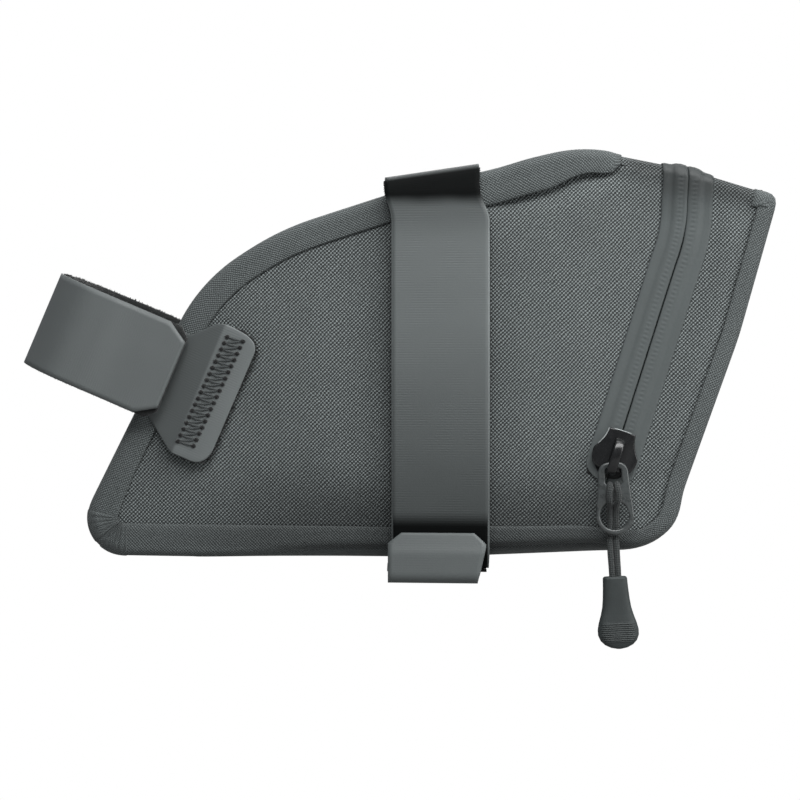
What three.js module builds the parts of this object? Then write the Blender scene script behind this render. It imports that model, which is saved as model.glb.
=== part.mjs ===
// A saddle bag: a wedge-shaped sewn bag that hangs from the saddle rails by a wide strap and is held to
// the seatpost by a second strap. Its rear end is a lid behind a zip that runs over the top.
//
// Millimetres. +X points to the rear of the bicycle, -Y to its left side and +Z up. The origin is the
// middle of the rail strap's inner face, where the saddle rails carry the bag.
import * as THREE from "three";
import { mergeVertices } from "three/addons/utils/BufferGeometryUtils.js";

// ---------------------------------------------------------------- driving dimensions
const REAR_HALF_WIDTH = 42;
const FRONT_HALF_WIDTH = 23;
const FRONT_X = -88;
const PARALLEL_FROM_X = 36; // behind this the two sides run parallel
const TAPER_POWER = 1.3;
const CROWN = 3; // how far a side panel bulges at its middle

const GAP = 0.3; // clearance between pieces that lie on each other
const FABRIC = 1.2; // thickness of the laminated fabric
const BODY_LAP = 7; // how far the body's gusset folds over the side panels
const LID_LAP = 4.6;
const PANEL_DEPTH = FABRIC + GAP; // a panel lies this far under the outer envelope
const PANEL_INSET = 3; // a panel's edge stops this far inside the outline

const STRAP_WIDTH = 25;
const STRAP_FILM = 1;
const STRAP_PILE = 0.7;
const RAIL_STRAP_SLOPE = 0.141; // the strap's top rises to the rear with the saddle rails

const ZIP_SLOT = 0.6; // half the slot between the two tapes
const ZIP_TAPE_EDGE = 6.6; // from the zip's middle to the tape's outer edge
const ZIP_PANEL_EDGE = 5.4; // from the zip's middle to the panel's cut edge
const COIL_EDGE = 2.2;
const TAPE_OUTER_DEPTH = 0.4;
const ZIP_TAPE = 0.8; // thickness of a tape
const ZIP_COIL = 1.2; // thickness of a coil
const ZIP_ROWS = 6; // cells of a zip-long sheet on one side

const POST_STRAP_TILT = THREE.MathUtils.degToRad(23); // the strap's axis leans back with the seatpost

// The side outline as a polygon, anticlockwise from the top rear, with each corner's rounding radius,
// the steps of that rounding and the steps of the edge to the next corner.
const OUTLINE = [
  { name: "lapEnd", x: 79.5, z: -3, radius: 0, round: 0, edge: 1 },
  { name: "zipTop", x: 62.75, z: 2.1, radius: 0, round: 0, edge: 1 },
  { name: "tongueEnd", x: 46, z: 5.4, radius: 0, round: 0, edge: 1 },
  { name: "peak", x: 36.3, z: 7.3, radius: 37, round: 4, edge: 1 },
  { name: "dipRear", x: 16.8, z: 2.7, radius: 2, round: 1, edge: 1 },
  { name: "dipFloor", x: 13.3, z: -0.5, radius: 2, round: 1, edge: 1 },
  { name: "dipFront", x: -12.3, z: -4.1, radius: 10, round: 1, edge: 1 },
  { name: "shoulder", x: -39.7, z: -12.8, radius: 70, round: 3, edge: 1 },
  { name: "brow", x: -59.2, z: -26.4, radius: 44, round: 4, edge: 3 },
  { name: "toe", x: -92.5, z: -94.3, radius: 8.5, round: 6, edge: 4 },
  { name: "belly", x: 0, z: -95.7, radius: 0, round: 0, edge: 3 },
  { name: "heel", x: 60.8, z: -93.2, radius: 15, round: 6, edge: 1 },
  { name: "fold", x: 61.7, z: -79, radius: 0, round: 0, edge: 1 },
  { name: "rearBulge", x: 75.8, z: -40, radius: 90, round: 3, edge: 1 },
  { name: "rearTop", x: 84.8, z: -4.6, radius: 2, round: 3, edge: 1 },
];
const corner = Object.fromEntries(OUTLINE.map((c) => [c.name, new THREE.Vector2(c.x, c.z)]));

// The zip's centre line on a side: straight from its lower end to a soft bend, then up to the top edge.
const ZIP_LOW = new THREE.Vector2(43.4, -72.5);
const ZIP_BEND = new THREE.Vector2(61.9, -14.2);
const ZIP_BEND_RADIUS = 90;
const ZIP_TILT = Math.atan2(ZIP_BEND.x - ZIP_LOW.x, ZIP_BEND.y - ZIP_LOW.y);

// ---------------------------------------------------------------- the bag's envelope

// Half the bag's width at x: parallel at the rear, tapering to the front.
function halfWidth(x) {
  if (x >= PARALLEL_FROM_X) return REAR_HALF_WIDTH;
  const along = (PARALLEL_FROM_X - x) / (PARALLEL_FROM_X - FRONT_X);
  return REAR_HALF_WIDTH - (REAR_HALF_WIDTH - FRONT_HALF_WIDTH) * along ** TAPER_POWER;
}

// The points of a rounded corner between the edges to its two neighbours.
function roundedCorner(before, at, after, radius, steps) {
  const back = before.clone().sub(at).normalize();
  const onward = after.clone().sub(at).normalize();
  const turn = Math.PI - Math.acos(THREE.MathUtils.clamp(back.dot(onward), -1, 1));
  if (steps === 0) return [at.clone()];
  const start = at.clone().addScaledVector(back, radius * Math.tan(turn / 2));
  const middle = back.clone().add(onward).normalize();
  const centre = at.clone().addScaledVector(middle, radius / Math.cos(turn / 2));
  const way = Math.sign(onward.cross(back));
  const points = [];
  for (let k = 0; k <= steps; k++) points.push(start.clone().rotateAround(centre, (way * turn * k) / steps));
  return points;
}

// One corner of the outline, moved inwards by depth.
function insetCorner(index, depth) {
  const count = OUTLINE.length;
  const at = corner[OUTLINE[(index + count) % count].name];
  const before = corner[OUTLINE[(index - 1 + count) % count].name];
  const after = corner[OUTLINE[(index + 1) % count].name];
  const into = at.clone().sub(before).normalize();
  const out = after.clone().sub(at).normalize();
  const normals = new THREE.Vector2(-into.y - out.y, into.x + out.x);
  return at.clone().addScaledVector(normals, depth / (1 + into.dot(out)));
}

// The whole outline, moved inwards by depth. Every depth gives the same number of points.
function outline(depth) {
  const count = OUTLINE.length;
  const rounds = OUTLINE.map((c, i) => {
    const before = insetCorner(i - 1, depth);
    const at = insetCorner(i, depth);
    const after = insetCorner((i + 1) % count, depth);
    const convex = at.clone().sub(before).cross(after.clone().sub(at)) > 0;
    const radius = convex ? Math.max(c.radius - depth, 1) : c.radius + depth;
    return roundedCorner(before, at, after, radius, c.round);
  });
  return rounds.flatMap((round, i) => {
    const next = rounds[(i + 1) % count][0];
    const last = round[round.length - 1];
    const edge = [];
    for (let k = 1; k < OUTLINE[i].edge; k++) edge.push(last.clone().lerp(next, k / OUTLINE[i].edge));
    return [...round, ...edge];
  });
}

// Where each named corner starts in the outline's list of points.
const startOf = {};
OUTLINE.reduce((start, c) => {
  startOf[c.name] = start;
  return start + c.round + c.edge;
}, 0);
const middleOf = (name) => startOf[name] + OUTLINE.find((c) => c.name === name).round / 2;

// The height of the top edge at x, behind the gusset's tongue.
function topHeight(x) {
  const behindZip = x > corner.zipTop.x;
  const rear = behindZip ? corner.lapEnd : corner.zipTop;
  const front = behindZip ? corner.zipTop : corner.tongueEnd;
  return THREE.MathUtils.mapLinear(x, rear.x, front.x, rear.y, front.y);
}

// The zip's centre line from its lower end to the top edge.
const zipTop = new THREE.Vector2(corner.zipTop.x, corner.zipTop.y);
const zipLine = [ZIP_LOW, ...roundedCorner(ZIP_LOW, ZIP_BEND, zipTop, ZIP_BEND_RADIUS, 3), zipTop];

// The x of the zip's centre line at height z, carried on straight below its lower end.
function zipX(z) {
  const above = zipLine.findIndex((p, i) => i > 0 && p.y >= z);
  const high = zipLine[above < 0 ? zipLine.length - 1 : above];
  const low = zipLine[above < 0 ? zipLine.length - 2 : above - 1];
  return THREE.MathUtils.mapLinear(z, low.y, high.y, low.x, high.x);
}

// The point at a fraction of a polyline's length.
function pointAlong(points, fraction) {
  const lengths = points.slice(1).map((p, i) => p.distanceTo(points[i]));
  let left = fraction * lengths.reduce((sum, length) => sum + length, 0);
  for (let i = 0; i < lengths.length; i++) {
    if (left <= lengths[i] || i === lengths.length - 1) {
      return points[i].clone().lerp(points[i + 1], left / lengths[i]);
    }
    left -= lengths[i];
  }
}

// ---------------------------------------------------------------- making solids

// The geometry with shared vertices merged and its faces turned outwards.
function closed(geometry) {
  geometry.deleteAttribute("normal");
  geometry.deleteAttribute("uv");
  const merged = mergeVertices(geometry, 1e-4);
  const position = merged.attributes.position;
  const index = merged.index;
  const [a, b, c] = [new THREE.Vector3(), new THREE.Vector3(), new THREE.Vector3()];
  let volume = 0;
  for (let i = 0; i < index.count; i += 3) {
    a.fromBufferAttribute(position, index.getX(i));
    b.fromBufferAttribute(position, index.getX(i + 1));
    c.fromBufferAttribute(position, index.getX(i + 2));
    volume += a.dot(b.cross(c)) / 6;
  }
  if (volume < 0) {
    for (let i = 0; i < index.count; i += 3) {
      const second = index.getX(i + 1);
      index.setX(i + 1, index.getX(i + 2));
      index.setX(i + 2, second);
    }
  }
  merged.computeVertexNormals();
  return merged;
}

// Moves each vertex of a geometry to where place(x, y, z) says.
function reshaped(geometry, place) {
  const position = geometry.attributes.position;
  for (let i = 0; i < position.count; i++) {
    const [x, y, z] = place(position.getX(i), position.getY(i), position.getZ(i));
    position.setXYZ(i, x, y, z);
  }
  return closed(geometry);
}

// A closed sheet of columns x rows cells. place(column, row, inner) gives each corner of a cell on the
// outer face (inner = 0) and on the inner face (inner = 1).
function sheet(columns, rows, place) {
  const box = new THREE.BoxGeometry(1, 1, 1, columns, rows, 1);
  return reshaped(box, (x, y, z) =>
    place(Math.round((x + 0.5) * columns), Math.round((y + 0.5) * rows), z > 0 ? 1 : 0),
  );
}

// A flat shape drawn in the side view, laid on one side of the bag. lift is its height above the
// envelope and turn tilts it in the side view.
function plateOnSide(shape, side, lift, thickness, turn = 0) {
  const plate = new THREE.ExtrudeGeometry(shape, { depth: thickness, bevelEnabled: false, curveSegments: 3 });
  plate.rotateZ(-turn);
  return reshaped(plate, (x, z, height) => [x, side * (halfWidth(x) + lift + height), z]);
}

// A straight-edged shape through pairs of coordinates.
function polygon(pairs) {
  return new THREE.Shape(pairs.map(([a, b]) => new THREE.Vector2(a, b)));
}

// The outline of a strip that follows a line of points, between two distances to the line's left.
function stripShape(points, near, far) {
  const sideways = points.map((p, i) => {
    const before = points[Math.max(i - 1, 0)];
    const after = points[Math.min(i + 1, points.length - 1)];
    const along = after.clone().sub(before).normalize();
    return new THREE.Vector2(-along.y, along.x);
  });
  const nearSide = points.map((p, i) => p.clone().addScaledVector(sideways[i], near));
  const farSide = points.map((p, i) => p.clone().addScaledVector(sideways[i], far));
  return new THREE.Shape([...nearSide, ...farSide.reverse()]);
}

const bag = new THREE.Group();

function add(name, geometry, finish, parent = bag) {
  const mesh = new THREE.Mesh(geometry, new THREE.MeshStandardMaterial(finish));
  mesh.name = name;
  parent.add(mesh);
  return mesh;
}

const FINISH = {
  fabric: { color: 0x5c6262, roughness: 0.8, metalness: 0 },
  film: { color: 0x656b6b, roughness: 0.45, metalness: 0 },
  strap: { color: 0x6f7575, roughness: 0.5, metalness: 0 },
  pile: { color: 0x15181a, roughness: 1, metalness: 0 },
  coil: { color: 0x25292a, roughness: 0.6, metalness: 0 },
  board: { color: 0x303434, roughness: 0.7, metalness: 0 },
  metal: { color: 0x16181a, roughness: 0.25, metalness: 0.8 },
  cord: { color: 0x3c4243, roughness: 0.9, metalness: 0 },
  rubber: { color: 0x4b5252, roughness: 0.6, metalness: 0 },
  thread: { color: 0x2b2f30, roughness: 0.9, metalness: 0 },
};

// ---------------------------------------------------------------- shell of the bag

// A gusset: the strip that runs round the outline from one point of it to another and folds over both
// side panels. lapEdge holds the fold's edge for every point of the outline.
function gusset(first, last, lapEdge) {
  const OUTER_BEVEL = 1.6;
  const INNER_BEVEL = 1;
  const ROWS = 5; // lap, cheek, wall, cheek and lap
  const rings = [
    [outline(0), outline(OUTER_BEVEL)],
    [outline(FABRIC), outline(FABRIC + INNER_BEVEL)],
  ];
  const bevels = [OUTER_BEVEL, INNER_BEVEL];
  return sheet(last - first, ROWS, (column, row, inner) => {
    const index = (first + column) % lapEdge.length;
    const [wall, cheek] = rings[inner];
    const fromEdge = Math.min(row, ROWS - row);
    const point = [lapEdge, cheek, wall][fromEdge][index];
    const inward = inner * FABRIC + (fromEdge === 2 ? bevels[inner] : 0);
    return [point.x, Math.sign(row - ROWS / 2) * (halfWidth(point.x) - inward), point.y];
  });
}

// The fold's edge on the body: wide along the top, front and bottom, narrow from the heel up.
function bodyLapEdge() {
  const wide = outline(BODY_LAP);
  const narrow = outline(LID_LAP);
  const start = startOf.heel;
  const end = startOf.fold - 1;
  return wide.map((p, i) => p.lerp(narrow[i], THREE.MathUtils.smoothstep(i, start, end)));
}

// One side panel of the body. Its front edge, bottom and top follow the outline, and its rear edge
// follows the heel, the split under the lid and the zip.
function sidePanel(side) {
  const edge = outline(PANEL_INSET);
  const front = edge.slice(middleOf("brow"), middleOf("toe") + 1).reverse();
  const top = edge.slice(startOf.tongueEnd, middleOf("brow") + 1).reverse();
  const bottom = edge.slice(middleOf("toe"), middleOf("heel") + 1);
  const topEndX = zipTop.x - ZIP_PANEL_EDGE;
  const topEnd = new THREE.Vector2(topEndX, topHeight(topEndX) - PANEL_INSET);
  top.push(topEnd);
  const splitEnd = edge[startOf.fold].clone().add(new THREE.Vector2(0, -GAP));
  const rear = [edge[middleOf("heel")], edge[startOf.fold - 1], splitEnd];
  for (let k = 0; k <= ZIP_ROWS; k++) {
    const z = THREE.MathUtils.lerp(ZIP_LOW.y - GAP, topEnd.y, k / ZIP_ROWS);
    rear.push(new THREE.Vector2(zipX(z) - ZIP_PANEL_EDGE, z));
  }
  const columns = 12;
  const rows = rear.length - 1;
  const heightShare = rear.map((p) => (p.y - rear[0].y) / (rear[rows].y - rear[0].y));
  const flatMargin = 0.07;
  const bulge = (s) => THREE.MathUtils.smoothstep(Math.min(s, 1 - s), flatMargin, 0.5);
  return sheet(columns, rows, (column, row, inner) => {
    const u = column / columns;
    const v = heightShare[row];
    const between = pointAlong(front, v).lerp(rear[row], u);
    const topShift = pointAlong(top, u).sub(pointAlong(front, 1).lerp(rear[rows], u));
    const bottomShift = pointAlong(bottom, u).sub(pointAlong(front, 0).lerp(rear[0], u));
    const point = between.addScaledVector(topShift, v * v).addScaledVector(bottomShift, (1 - v) ** 4);
    const crown = CROWN * bulge(u) * bulge(v);
    return [point.x, side * (halfWidth(point.x) - PANEL_DEPTH + crown - inner * FABRIC), point.y];
  });
}

// A sheet that goes up one side, over the top and down the other, between a front and a rear edge.
// frontEdge(h) and rearEdge(h) give the edges in the side view, from the low end (h = 0) to the top.
function overTheTop(sideRows, frontEdge, rearEdge, outerDepth, thickness) {
  const BEVEL = 1.2;
  const rows = 2 * sideRows + 3;
  return sheet(1, rows, (column, row, inner) => {
    const depth = outerDepth + inner * thickness;
    const side = row < rows / 2 ? -1 : 1;
    const fromEnd = Math.min(row, rows - row);
    const edge = column === 0 ? frontEdge : rearEdge;
    const point = edge(Math.min(fromEnd / sideRows, 1));
    const top = topHeight(point.x);
    if (fromEnd > sideRows) return [point.x, side * (REAR_HALF_WIDTH - depth - BEVEL), top - depth];
    const z = Math.min(point.y, top - depth - BEVEL);
    return [point.x, side * (REAR_HALF_WIDTH - depth), z];
  });
}

// The edge that runs beside the zip at a fixed distance behind (+) or in front of (-) its middle.
function besideZip(distance, lowEnd) {
  return (h) => {
    const z = THREE.MathUtils.lerp(lowEnd, zipTop.y, h);
    return new THREE.Vector2(zipX(z) + distance, z);
  };
}

function addShell() {
  const outlineLength = outline(0).length;
  add("gusset_body", gusset(startOf.tongueEnd, startOf.fold, bodyLapEdge()), FINISH.fabric);
  add("side_panel_left", sidePanel(-1), FINISH.fabric);
  add("side_panel_right", sidePanel(1), FINISH.fabric);

  const topPanel = sheet(1, 1, (column, row, inner) => {
    const x = column === 0 ? corner.tongueEnd.x + GAP : zipTop.x - ZIP_PANEL_EDGE;
    const y = (row - 0.5) * 2 * (REAR_HALF_WIDTH - PANEL_DEPTH - FABRIC);
    return [x, y, topHeight(x) - PANEL_DEPTH - inner * FABRIC];
  });
  add("top_panel", topPanel, FINISH.fabric);

  const lidLapEdge = outline(LID_LAP);
  add("lid_gusset", raisedLowEnd(gusset(startOf.fold, outlineLength, lidLapEdge)), FINISH.fabric);
  const rearEdge = outline(PANEL_INSET).slice(startOf.fold, startOf.rearTop + 2);
  const lidRear = (h) => pointAlong(rearEdge, h).add(new THREE.Vector2(0, GAP * (1 - h)));
  const LID_BELOW_ZIP = 1.2;
  const lidFront = besideZip(ZIP_PANEL_EDGE, ZIP_LOW.y - LID_BELOW_ZIP);
  add("lid_panel", overTheTop(ZIP_ROWS, lidFront, lidRear, PANEL_DEPTH, FABRIC), FINISH.fabric);

  const BOARD_FRONT_X = -72;
  const BOARD_REAR_X = 38;
  const BOARD_TOP_Z = -91.2;
  const BOARD_THICKNESS = 1.4;
  const BOARD_CLEARANCE = 4; // from the bag's sides to the board's edges
  const boardColumns = 5;
  const board = sheet(boardColumns, 1, (column, row, inner) => {
    const x = THREE.MathUtils.lerp(BOARD_FRONT_X, BOARD_REAR_X, column / boardColumns);
    const y = (row - 0.5) * 2 * (halfWidth(x) - BOARD_CLEARANCE);
    return [x, y, BOARD_TOP_Z - inner * BOARD_THICKNESS];
  });
  add("base_stiffener", board, FINISH.board);
}

// The lid's gusset starts a gap above the fold, so that it can turn on it.
function raisedLowEnd(geometry) {
  const lowEnd = corner.fold.y + BODY_LAP / 2;
  return reshaped(geometry, (x, y, z) => [x, y, z < lowEnd ? z + GAP : z]);
}

// A folded fabric corner sewn over the gusset's lap at the toe.
function addCornerFolds() {
  const THICKNESS = 0.5;
  // The patch's corners, measured from the middle of the rounded toe.
  const patch = [
    [9.5, 1.2],
    [1.2, 7],
    [1.4, 1.5],
    [4.5, -3],
  ];
  const toe = outline(0)[middleOf("toe")];
  const shape = polygon(patch.map(([x, z]) => [toe.x + x, toe.y + z]));
  for (const [name, side] of [["left", -1], ["right", 1]]) {
    add("corner_fold_" + name, plateOnSide(shape, side, GAP, THICKNESS), FINISH.fabric);
  }
}

// ---------------------------------------------------------------- zip

function addZip() {
  const TAPE_TAIL = 2; // the body's tape runs on this far below the zip's lower end
  const coilDepth = TAPE_OUTER_DEPTH + ZIP_TAPE + GAP;
  const tape = { edge: ZIP_TAPE_EDGE, tail: TAPE_TAIL, depth: TAPE_OUTER_DEPTH, thickness: ZIP_TAPE };
  const coil = { edge: COIL_EDGE, tail: GAP, depth: coilDepth, thickness: ZIP_COIL };
  const lidLow = ZIP_LOW.y + GAP;
  for (const [name, strip, finish] of [["zip_tape", tape, FINISH.film], ["zip_coil", coil, FINISH.coil]]) {
    const { edge, tail, depth, thickness } = strip;
    const low = ZIP_LOW.y - tail;
    const body = overTheTop(ZIP_ROWS, besideZip(-edge, low), besideZip(-ZIP_SLOT, low), depth, thickness);
    const lid = overTheTop(ZIP_ROWS, besideZip(ZIP_SLOT, lidLow), besideZip(edge, lidLow), depth, thickness);
    add(name + "_body", body, finish);
    add(name + "_lid", lid, finish);
  }

  const STOP = { width: 3.6, thickness: 1.4, height: 2, belowZip: 3.5, underCoil: 2.5 };
  const stopZ = ZIP_LOW.y - STOP.belowZip;
  for (const [name, side] of [["left", -1], ["right", 1]]) {
    const block = new THREE.BoxGeometry(STOP.width, STOP.thickness, STOP.height);
    const mesh = add("zip_stop_" + name, closed(block), FINISH.metal);
    mesh.position.set(zipX(stopZ), side * (REAR_HALF_WIDTH - coilDepth - STOP.underCoil), stopZ);
  }
}

// The slider straddles the tapes near the zip's lower end on the left side. Its bridge holds the tab.
const SLIDER = {
  length: 10,
  outerHalf: 5, // half the outer plate's width
  outerPlate: 1.5, // its thickness
  innerHalf: 4.4,
  innerPlate: 1,
  webHalf: 0.3,
  edgeCut: 0.8,
  edgeDrop: 0.5,
};
const slider = {
  z: -68.3, // height of the slider's middle
  outerFace: REAR_HALF_WIDTH - TAPE_OUTER_DEPTH + GAP + SLIDER.outerPlate,
};
slider.x = zipX(slider.z);

// The arch over the slider, measured along the zip from the slider's middle and out from its face.
const BRIDGE = { low: -5.6, high: 1.6, height: 3.7, bar: 1, halfWidth: 1 };

// The tab's bar lies inside the arch.
const tabBar = { along: -3.5, out: 1.45 };
tabBar.x = slider.x + tabBar.along * Math.sin(ZIP_TILT);
tabBar.z = slider.z + tabBar.along * Math.cos(ZIP_TILT);
tabBar.y = -slider.outerFace - tabBar.out;

// The slider's cross-section: an outer and an inner plate joined by a thin web.
function sliderProfile() {
  const outerFace = -slider.outerFace;
  const tapeFace = outerFace + SLIDER.outerPlate;
  const innerFace = -(REAR_HALF_WIDTH - TAPE_OUTER_DEPTH - ZIP_TAPE - ZIP_COIL - 3 * GAP);
  const half = [
    [SLIDER.outerHalf - SLIDER.edgeCut, outerFace],
    [SLIDER.outerHalf, outerFace + SLIDER.edgeDrop],
    [SLIDER.outerHalf, tapeFace],
    [SLIDER.webHalf, tapeFace],
    [SLIDER.webHalf, innerFace],
    [SLIDER.innerHalf, innerFace],
    [SLIDER.innerHalf, innerFace + SLIDER.innerPlate],
  ];
  const mirrored = half.map(([across, y]) => [-across, y]).reverse();
  return polygon([...half, ...mirrored]);
}

// The bridge from the side: an arch with both feet on the slider's face.
function bridgeProfile() {
  const { low, high, height, bar } = BRIDGE;
  const outside = [
    [low, GAP],
    [low, height - bar],
    [low + bar, height],
    [high - bar, height],
    [high, height - bar],
    [high, GAP],
  ];
  const inside = [
    [high - bar, GAP],
    [high - bar, height - bar],
    [low + bar, height - bar],
    [low + bar, GAP],
  ];
  return polygon([...outside, ...inside]);
}

function addSlider() {
  const body = new THREE.ExtrudeGeometry(sliderProfile(), { depth: SLIDER.length, bevelEnabled: false });
  body.translate(0, 0, -SLIDER.length / 2);

  const frame = new THREE.Group();
  frame.position.set(slider.x, 0, slider.z);
  frame.rotation.y = ZIP_TILT;
  bag.add(frame);
  add("slider_body", closed(body), FINISH.metal, frame);

  const options = { depth: 2 * BRIDGE.halfWidth, bevelEnabled: false };
  const arch = new THREE.ExtrudeGeometry(bridgeProfile(), options);
  const bridge = reshaped(arch, (along, height, across) => [
    across - BRIDGE.halfWidth,
    -slider.outerFace - height,
    along,
  ]);
  add("slider_bridge", bridge, FINISH.metal, frame);
}

const TAB_LEAN = THREE.MathUtils.degToRad(2.5); // the tab hangs a little to the rear
const TAB = {
  thickness: 1.2,
  barHalf: 0.5,
  topHalf: 3.4,
  shoulder: 1, // cut off the tab's two upper corners
  shoulderDrop: 0.4,
  ringRadius: 4.75,
  ringDrop: 12.8,
  holeRadius: 3.1,
};
const SLOT = { halfWidth: 2.3, top: -0.5, bottom: -6, corner: 1 };

function addPullTab() {
  const outside = polygon([
    [TAB.topHalf, -TAB.shoulderDrop],
    [TAB.topHalf - TAB.shoulder, TAB.barHalf],
    [-TAB.topHalf + TAB.shoulder, TAB.barHalf],
    [-TAB.topHalf, -TAB.shoulderDrop],
    [-TAB.ringRadius, -TAB.ringDrop],
  ]);
  outside.absarc(0, -TAB.ringDrop, TAB.ringRadius, Math.PI, 2 * Math.PI, false);
  const slot = polygon([
    [-SLOT.halfWidth, SLOT.top],
    [SLOT.halfWidth, SLOT.top],
    [SLOT.halfWidth, SLOT.bottom + SLOT.corner],
    [SLOT.halfWidth - SLOT.corner, SLOT.bottom],
    [-SLOT.halfWidth + SLOT.corner, SLOT.bottom],
    [-SLOT.halfWidth, SLOT.bottom + SLOT.corner],
  ]);
  const hole = new THREE.Path();
  hole.absarc(0, -TAB.ringDrop, TAB.holeRadius, 0, 2 * Math.PI, false);
  outside.holes.push(slot, hole);
  const options = { depth: TAB.thickness, bevelEnabled: false, curveSegments: 10 };
  const plate = new THREE.ExtrudeGeometry(outside, options);
  plate.translate(0, 0, -TAB.thickness / 2);
  plate.rotateX(Math.PI / 2);
  const tab = add("pull_tab", closed(plate), FINISH.metal);
  tab.position.set(tabBar.x, tabBar.y, tabBar.z);
  tab.rotation.y = -TAB_LEAN;
}

// The cord is hitched round the tab's crossbar, comes through the round hole and hangs behind the ring.
// Below the hitch a gap leaves the cord room to swing.
const CORD = { halfWidth: 1.7, half: 0.7, behindTab: 1.7, pivotDrop: 14.4, swingRoom: 1.5, length: 12.2 };

// The hitch: up behind the tab's crossbar, out through the slot, down in front and back through the hole.
function addHitch() {
  const behind = CORD.behindTab;
  const line = [
    [behind, -7.8],
    [behind, -6],
    [0, -4.6],
    [-behind, -6],
    [-behind, -9.7],
    [0, -11.5],
    [behind, -12.9],
    [behind, -14.6],
  ];
  const curve = new THREE.CatmullRomCurve3(line.map(([y, z]) => new THREE.Vector3(0, y, z)));
  const samples = curve.getPoints(18).map((p) => new THREE.Vector2(p.y, p.z));
  const strip = stripShape(samples, -CORD.half, CORD.half);
  const hitch = new THREE.ExtrudeGeometry(strip, { depth: 2 * CORD.halfWidth, bevelEnabled: false });
  const hitchGeometry = reshaped(hitch, (y, z, across) => [across - CORD.halfWidth, y, z]);
  const mesh = add("cord_hitch", hitchGeometry, FINISH.cord);
  mesh.position.set(tabBar.x, tabBar.y, tabBar.z);
  mesh.rotation.y = -TAB_LEAN;
}

function addCord() {
  const strands = new THREE.Shape();
  strands.absarc(-CORD.halfWidth + CORD.half, 0, CORD.half, Math.PI / 2, (3 * Math.PI) / 2, false);
  strands.absarc(CORD.halfWidth - CORD.half, 0, CORD.half, -Math.PI / 2, Math.PI / 2, false);
  const options = { depth: CORD.length, bevelEnabled: false, curveSegments: 4 };
  const hanging = new THREE.ExtrudeGeometry(strands, options);
  hanging.translate(0, 0, -CORD.length);
  const cord = add("pull_cord", closed(hanging), FINISH.cord);
  const pivotX = tabBar.x + CORD.pivotDrop * Math.sin(TAB_LEAN);
  const pivotZ = tabBar.z - CORD.pivotDrop * Math.cos(TAB_LEAN);
  cord.position.set(pivotX, tabBar.y + CORD.behindTab, pivotZ - CORD.swingRoom);
  addGrip(cord.position);
}

// The moulded grip at the cord's end: a waisted shape that flares to a round foot.
const GRIP = {
  topHalf: 3,
  cut: 0.6, // cut off its two upper corners
  waistHalf: 3.5,
  waist: -6,
  swell: -8.5,
  flareHalf: 5.1,
  flare: -12.5,
  length: 17.8,
  halfThickness: 2,
  outwards: 1.3, // it lies against the bag's side, so its middle is further out than the cord's
};

function addGrip(cordTop) {
  const outside = new THREE.Shape();
  outside.moveTo(-GRIP.topHalf + GRIP.cut, 0);
  outside.lineTo(-GRIP.topHalf, -GRIP.cut);
  outside.lineTo(-GRIP.waistHalf, GRIP.waist);
  outside.quadraticCurveTo(-GRIP.waistHalf, GRIP.swell, -GRIP.flareHalf, GRIP.flare);
  outside.quadraticCurveTo(-GRIP.flareHalf, -GRIP.length, 0, -GRIP.length);
  outside.quadraticCurveTo(GRIP.flareHalf, -GRIP.length, GRIP.flareHalf, GRIP.flare);
  outside.quadraticCurveTo(GRIP.waistHalf, GRIP.swell, GRIP.waistHalf, GRIP.waist);
  outside.lineTo(GRIP.topHalf, -GRIP.cut);
  outside.lineTo(GRIP.topHalf - GRIP.cut, 0);
  const options = { depth: 2 * GRIP.halfThickness, bevelEnabled: false, curveSegments: 4 };
  const moulded = new THREE.ExtrudeGeometry(outside, options);
  moulded.translate(0, 0, -GRIP.halfThickness);
  moulded.rotateX(Math.PI / 2);
  const mesh = add("cord_grip", closed(moulded), FINISH.rubber);
  mesh.position.copy(cordTop);
  mesh.position.y -= GRIP.outwards;
  mesh.position.z -= CORD.length + GAP;
}

// ---------------------------------------------------------------- rail strap

// Layers of the rail strap, measured outwards from the pile's inner face.
const LAYER = {
  film: STRAP_PILE + GAP,
  hook: STRAP_PILE + STRAP_FILM + 2 * GAP,
};
const HOOK = 0.6;
LAYER.tabPile = LAYER.hook + HOOK + GAP;
LAYER.tabFilm = LAYER.tabPile + STRAP_PILE + GAP;

const PANEL_ROOM = 2.1; // from the bag's envelope to the pile, for the bulge of the side panels
const RAIL_LOOP = { halfWidth: halfWidth(0) + PANEL_ROOM, top: 0, bottom: -96.1, radius: 5 };
const RAIL_TAB = { hingeY: -8, topZ: -88.8, cutHeight: 2.5, cutWidthShare: 0.8 };

// The strap's round as a path in the YZ plane, grown outwards from the pile's inner face.
function railLoop(grow, PathClass) {
  const path = new PathClass();
  const y = RAIL_LOOP.halfWidth + grow;
  const top = RAIL_LOOP.top + grow;
  const bottom = RAIL_LOOP.bottom - grow;
  const r = RAIL_LOOP.radius + grow;
  path.absarc(y - r, top - r, r, 0, Math.PI / 2, false);
  path.absarc(-y + r, top - r, r, Math.PI / 2, Math.PI, false);
  path.absarc(-y + r, bottom + r, r, Math.PI, 1.5 * Math.PI, false);
  path.absarc(y - r, bottom + r, r, 1.5 * Math.PI, 2 * Math.PI, false);
  return path;
}

// Extrudes a YZ shape over the strap's width, follows the bag's taper and slopes the top run.
// widthShare(z) narrows the strap at height z.
function acrossStrap(shape, widthShare = () => 1) {
  const SLOPED_ABOVE_Z = -20;
  const options = { depth: STRAP_WIDTH, bevelEnabled: false, curveSegments: 4 };
  const geometry = new THREE.ExtrudeGeometry(shape, options);
  return reshaped(geometry, (y, z, along) => {
    const x = (along - STRAP_WIDTH / 2) * widthShare(z);
    const taper = halfWidth(x) / halfWidth(0);
    return [x, y * taper, z > SLOPED_ABOVE_Z ? z + RAIL_STRAP_SLOPE * x : z];
  });
}

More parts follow.
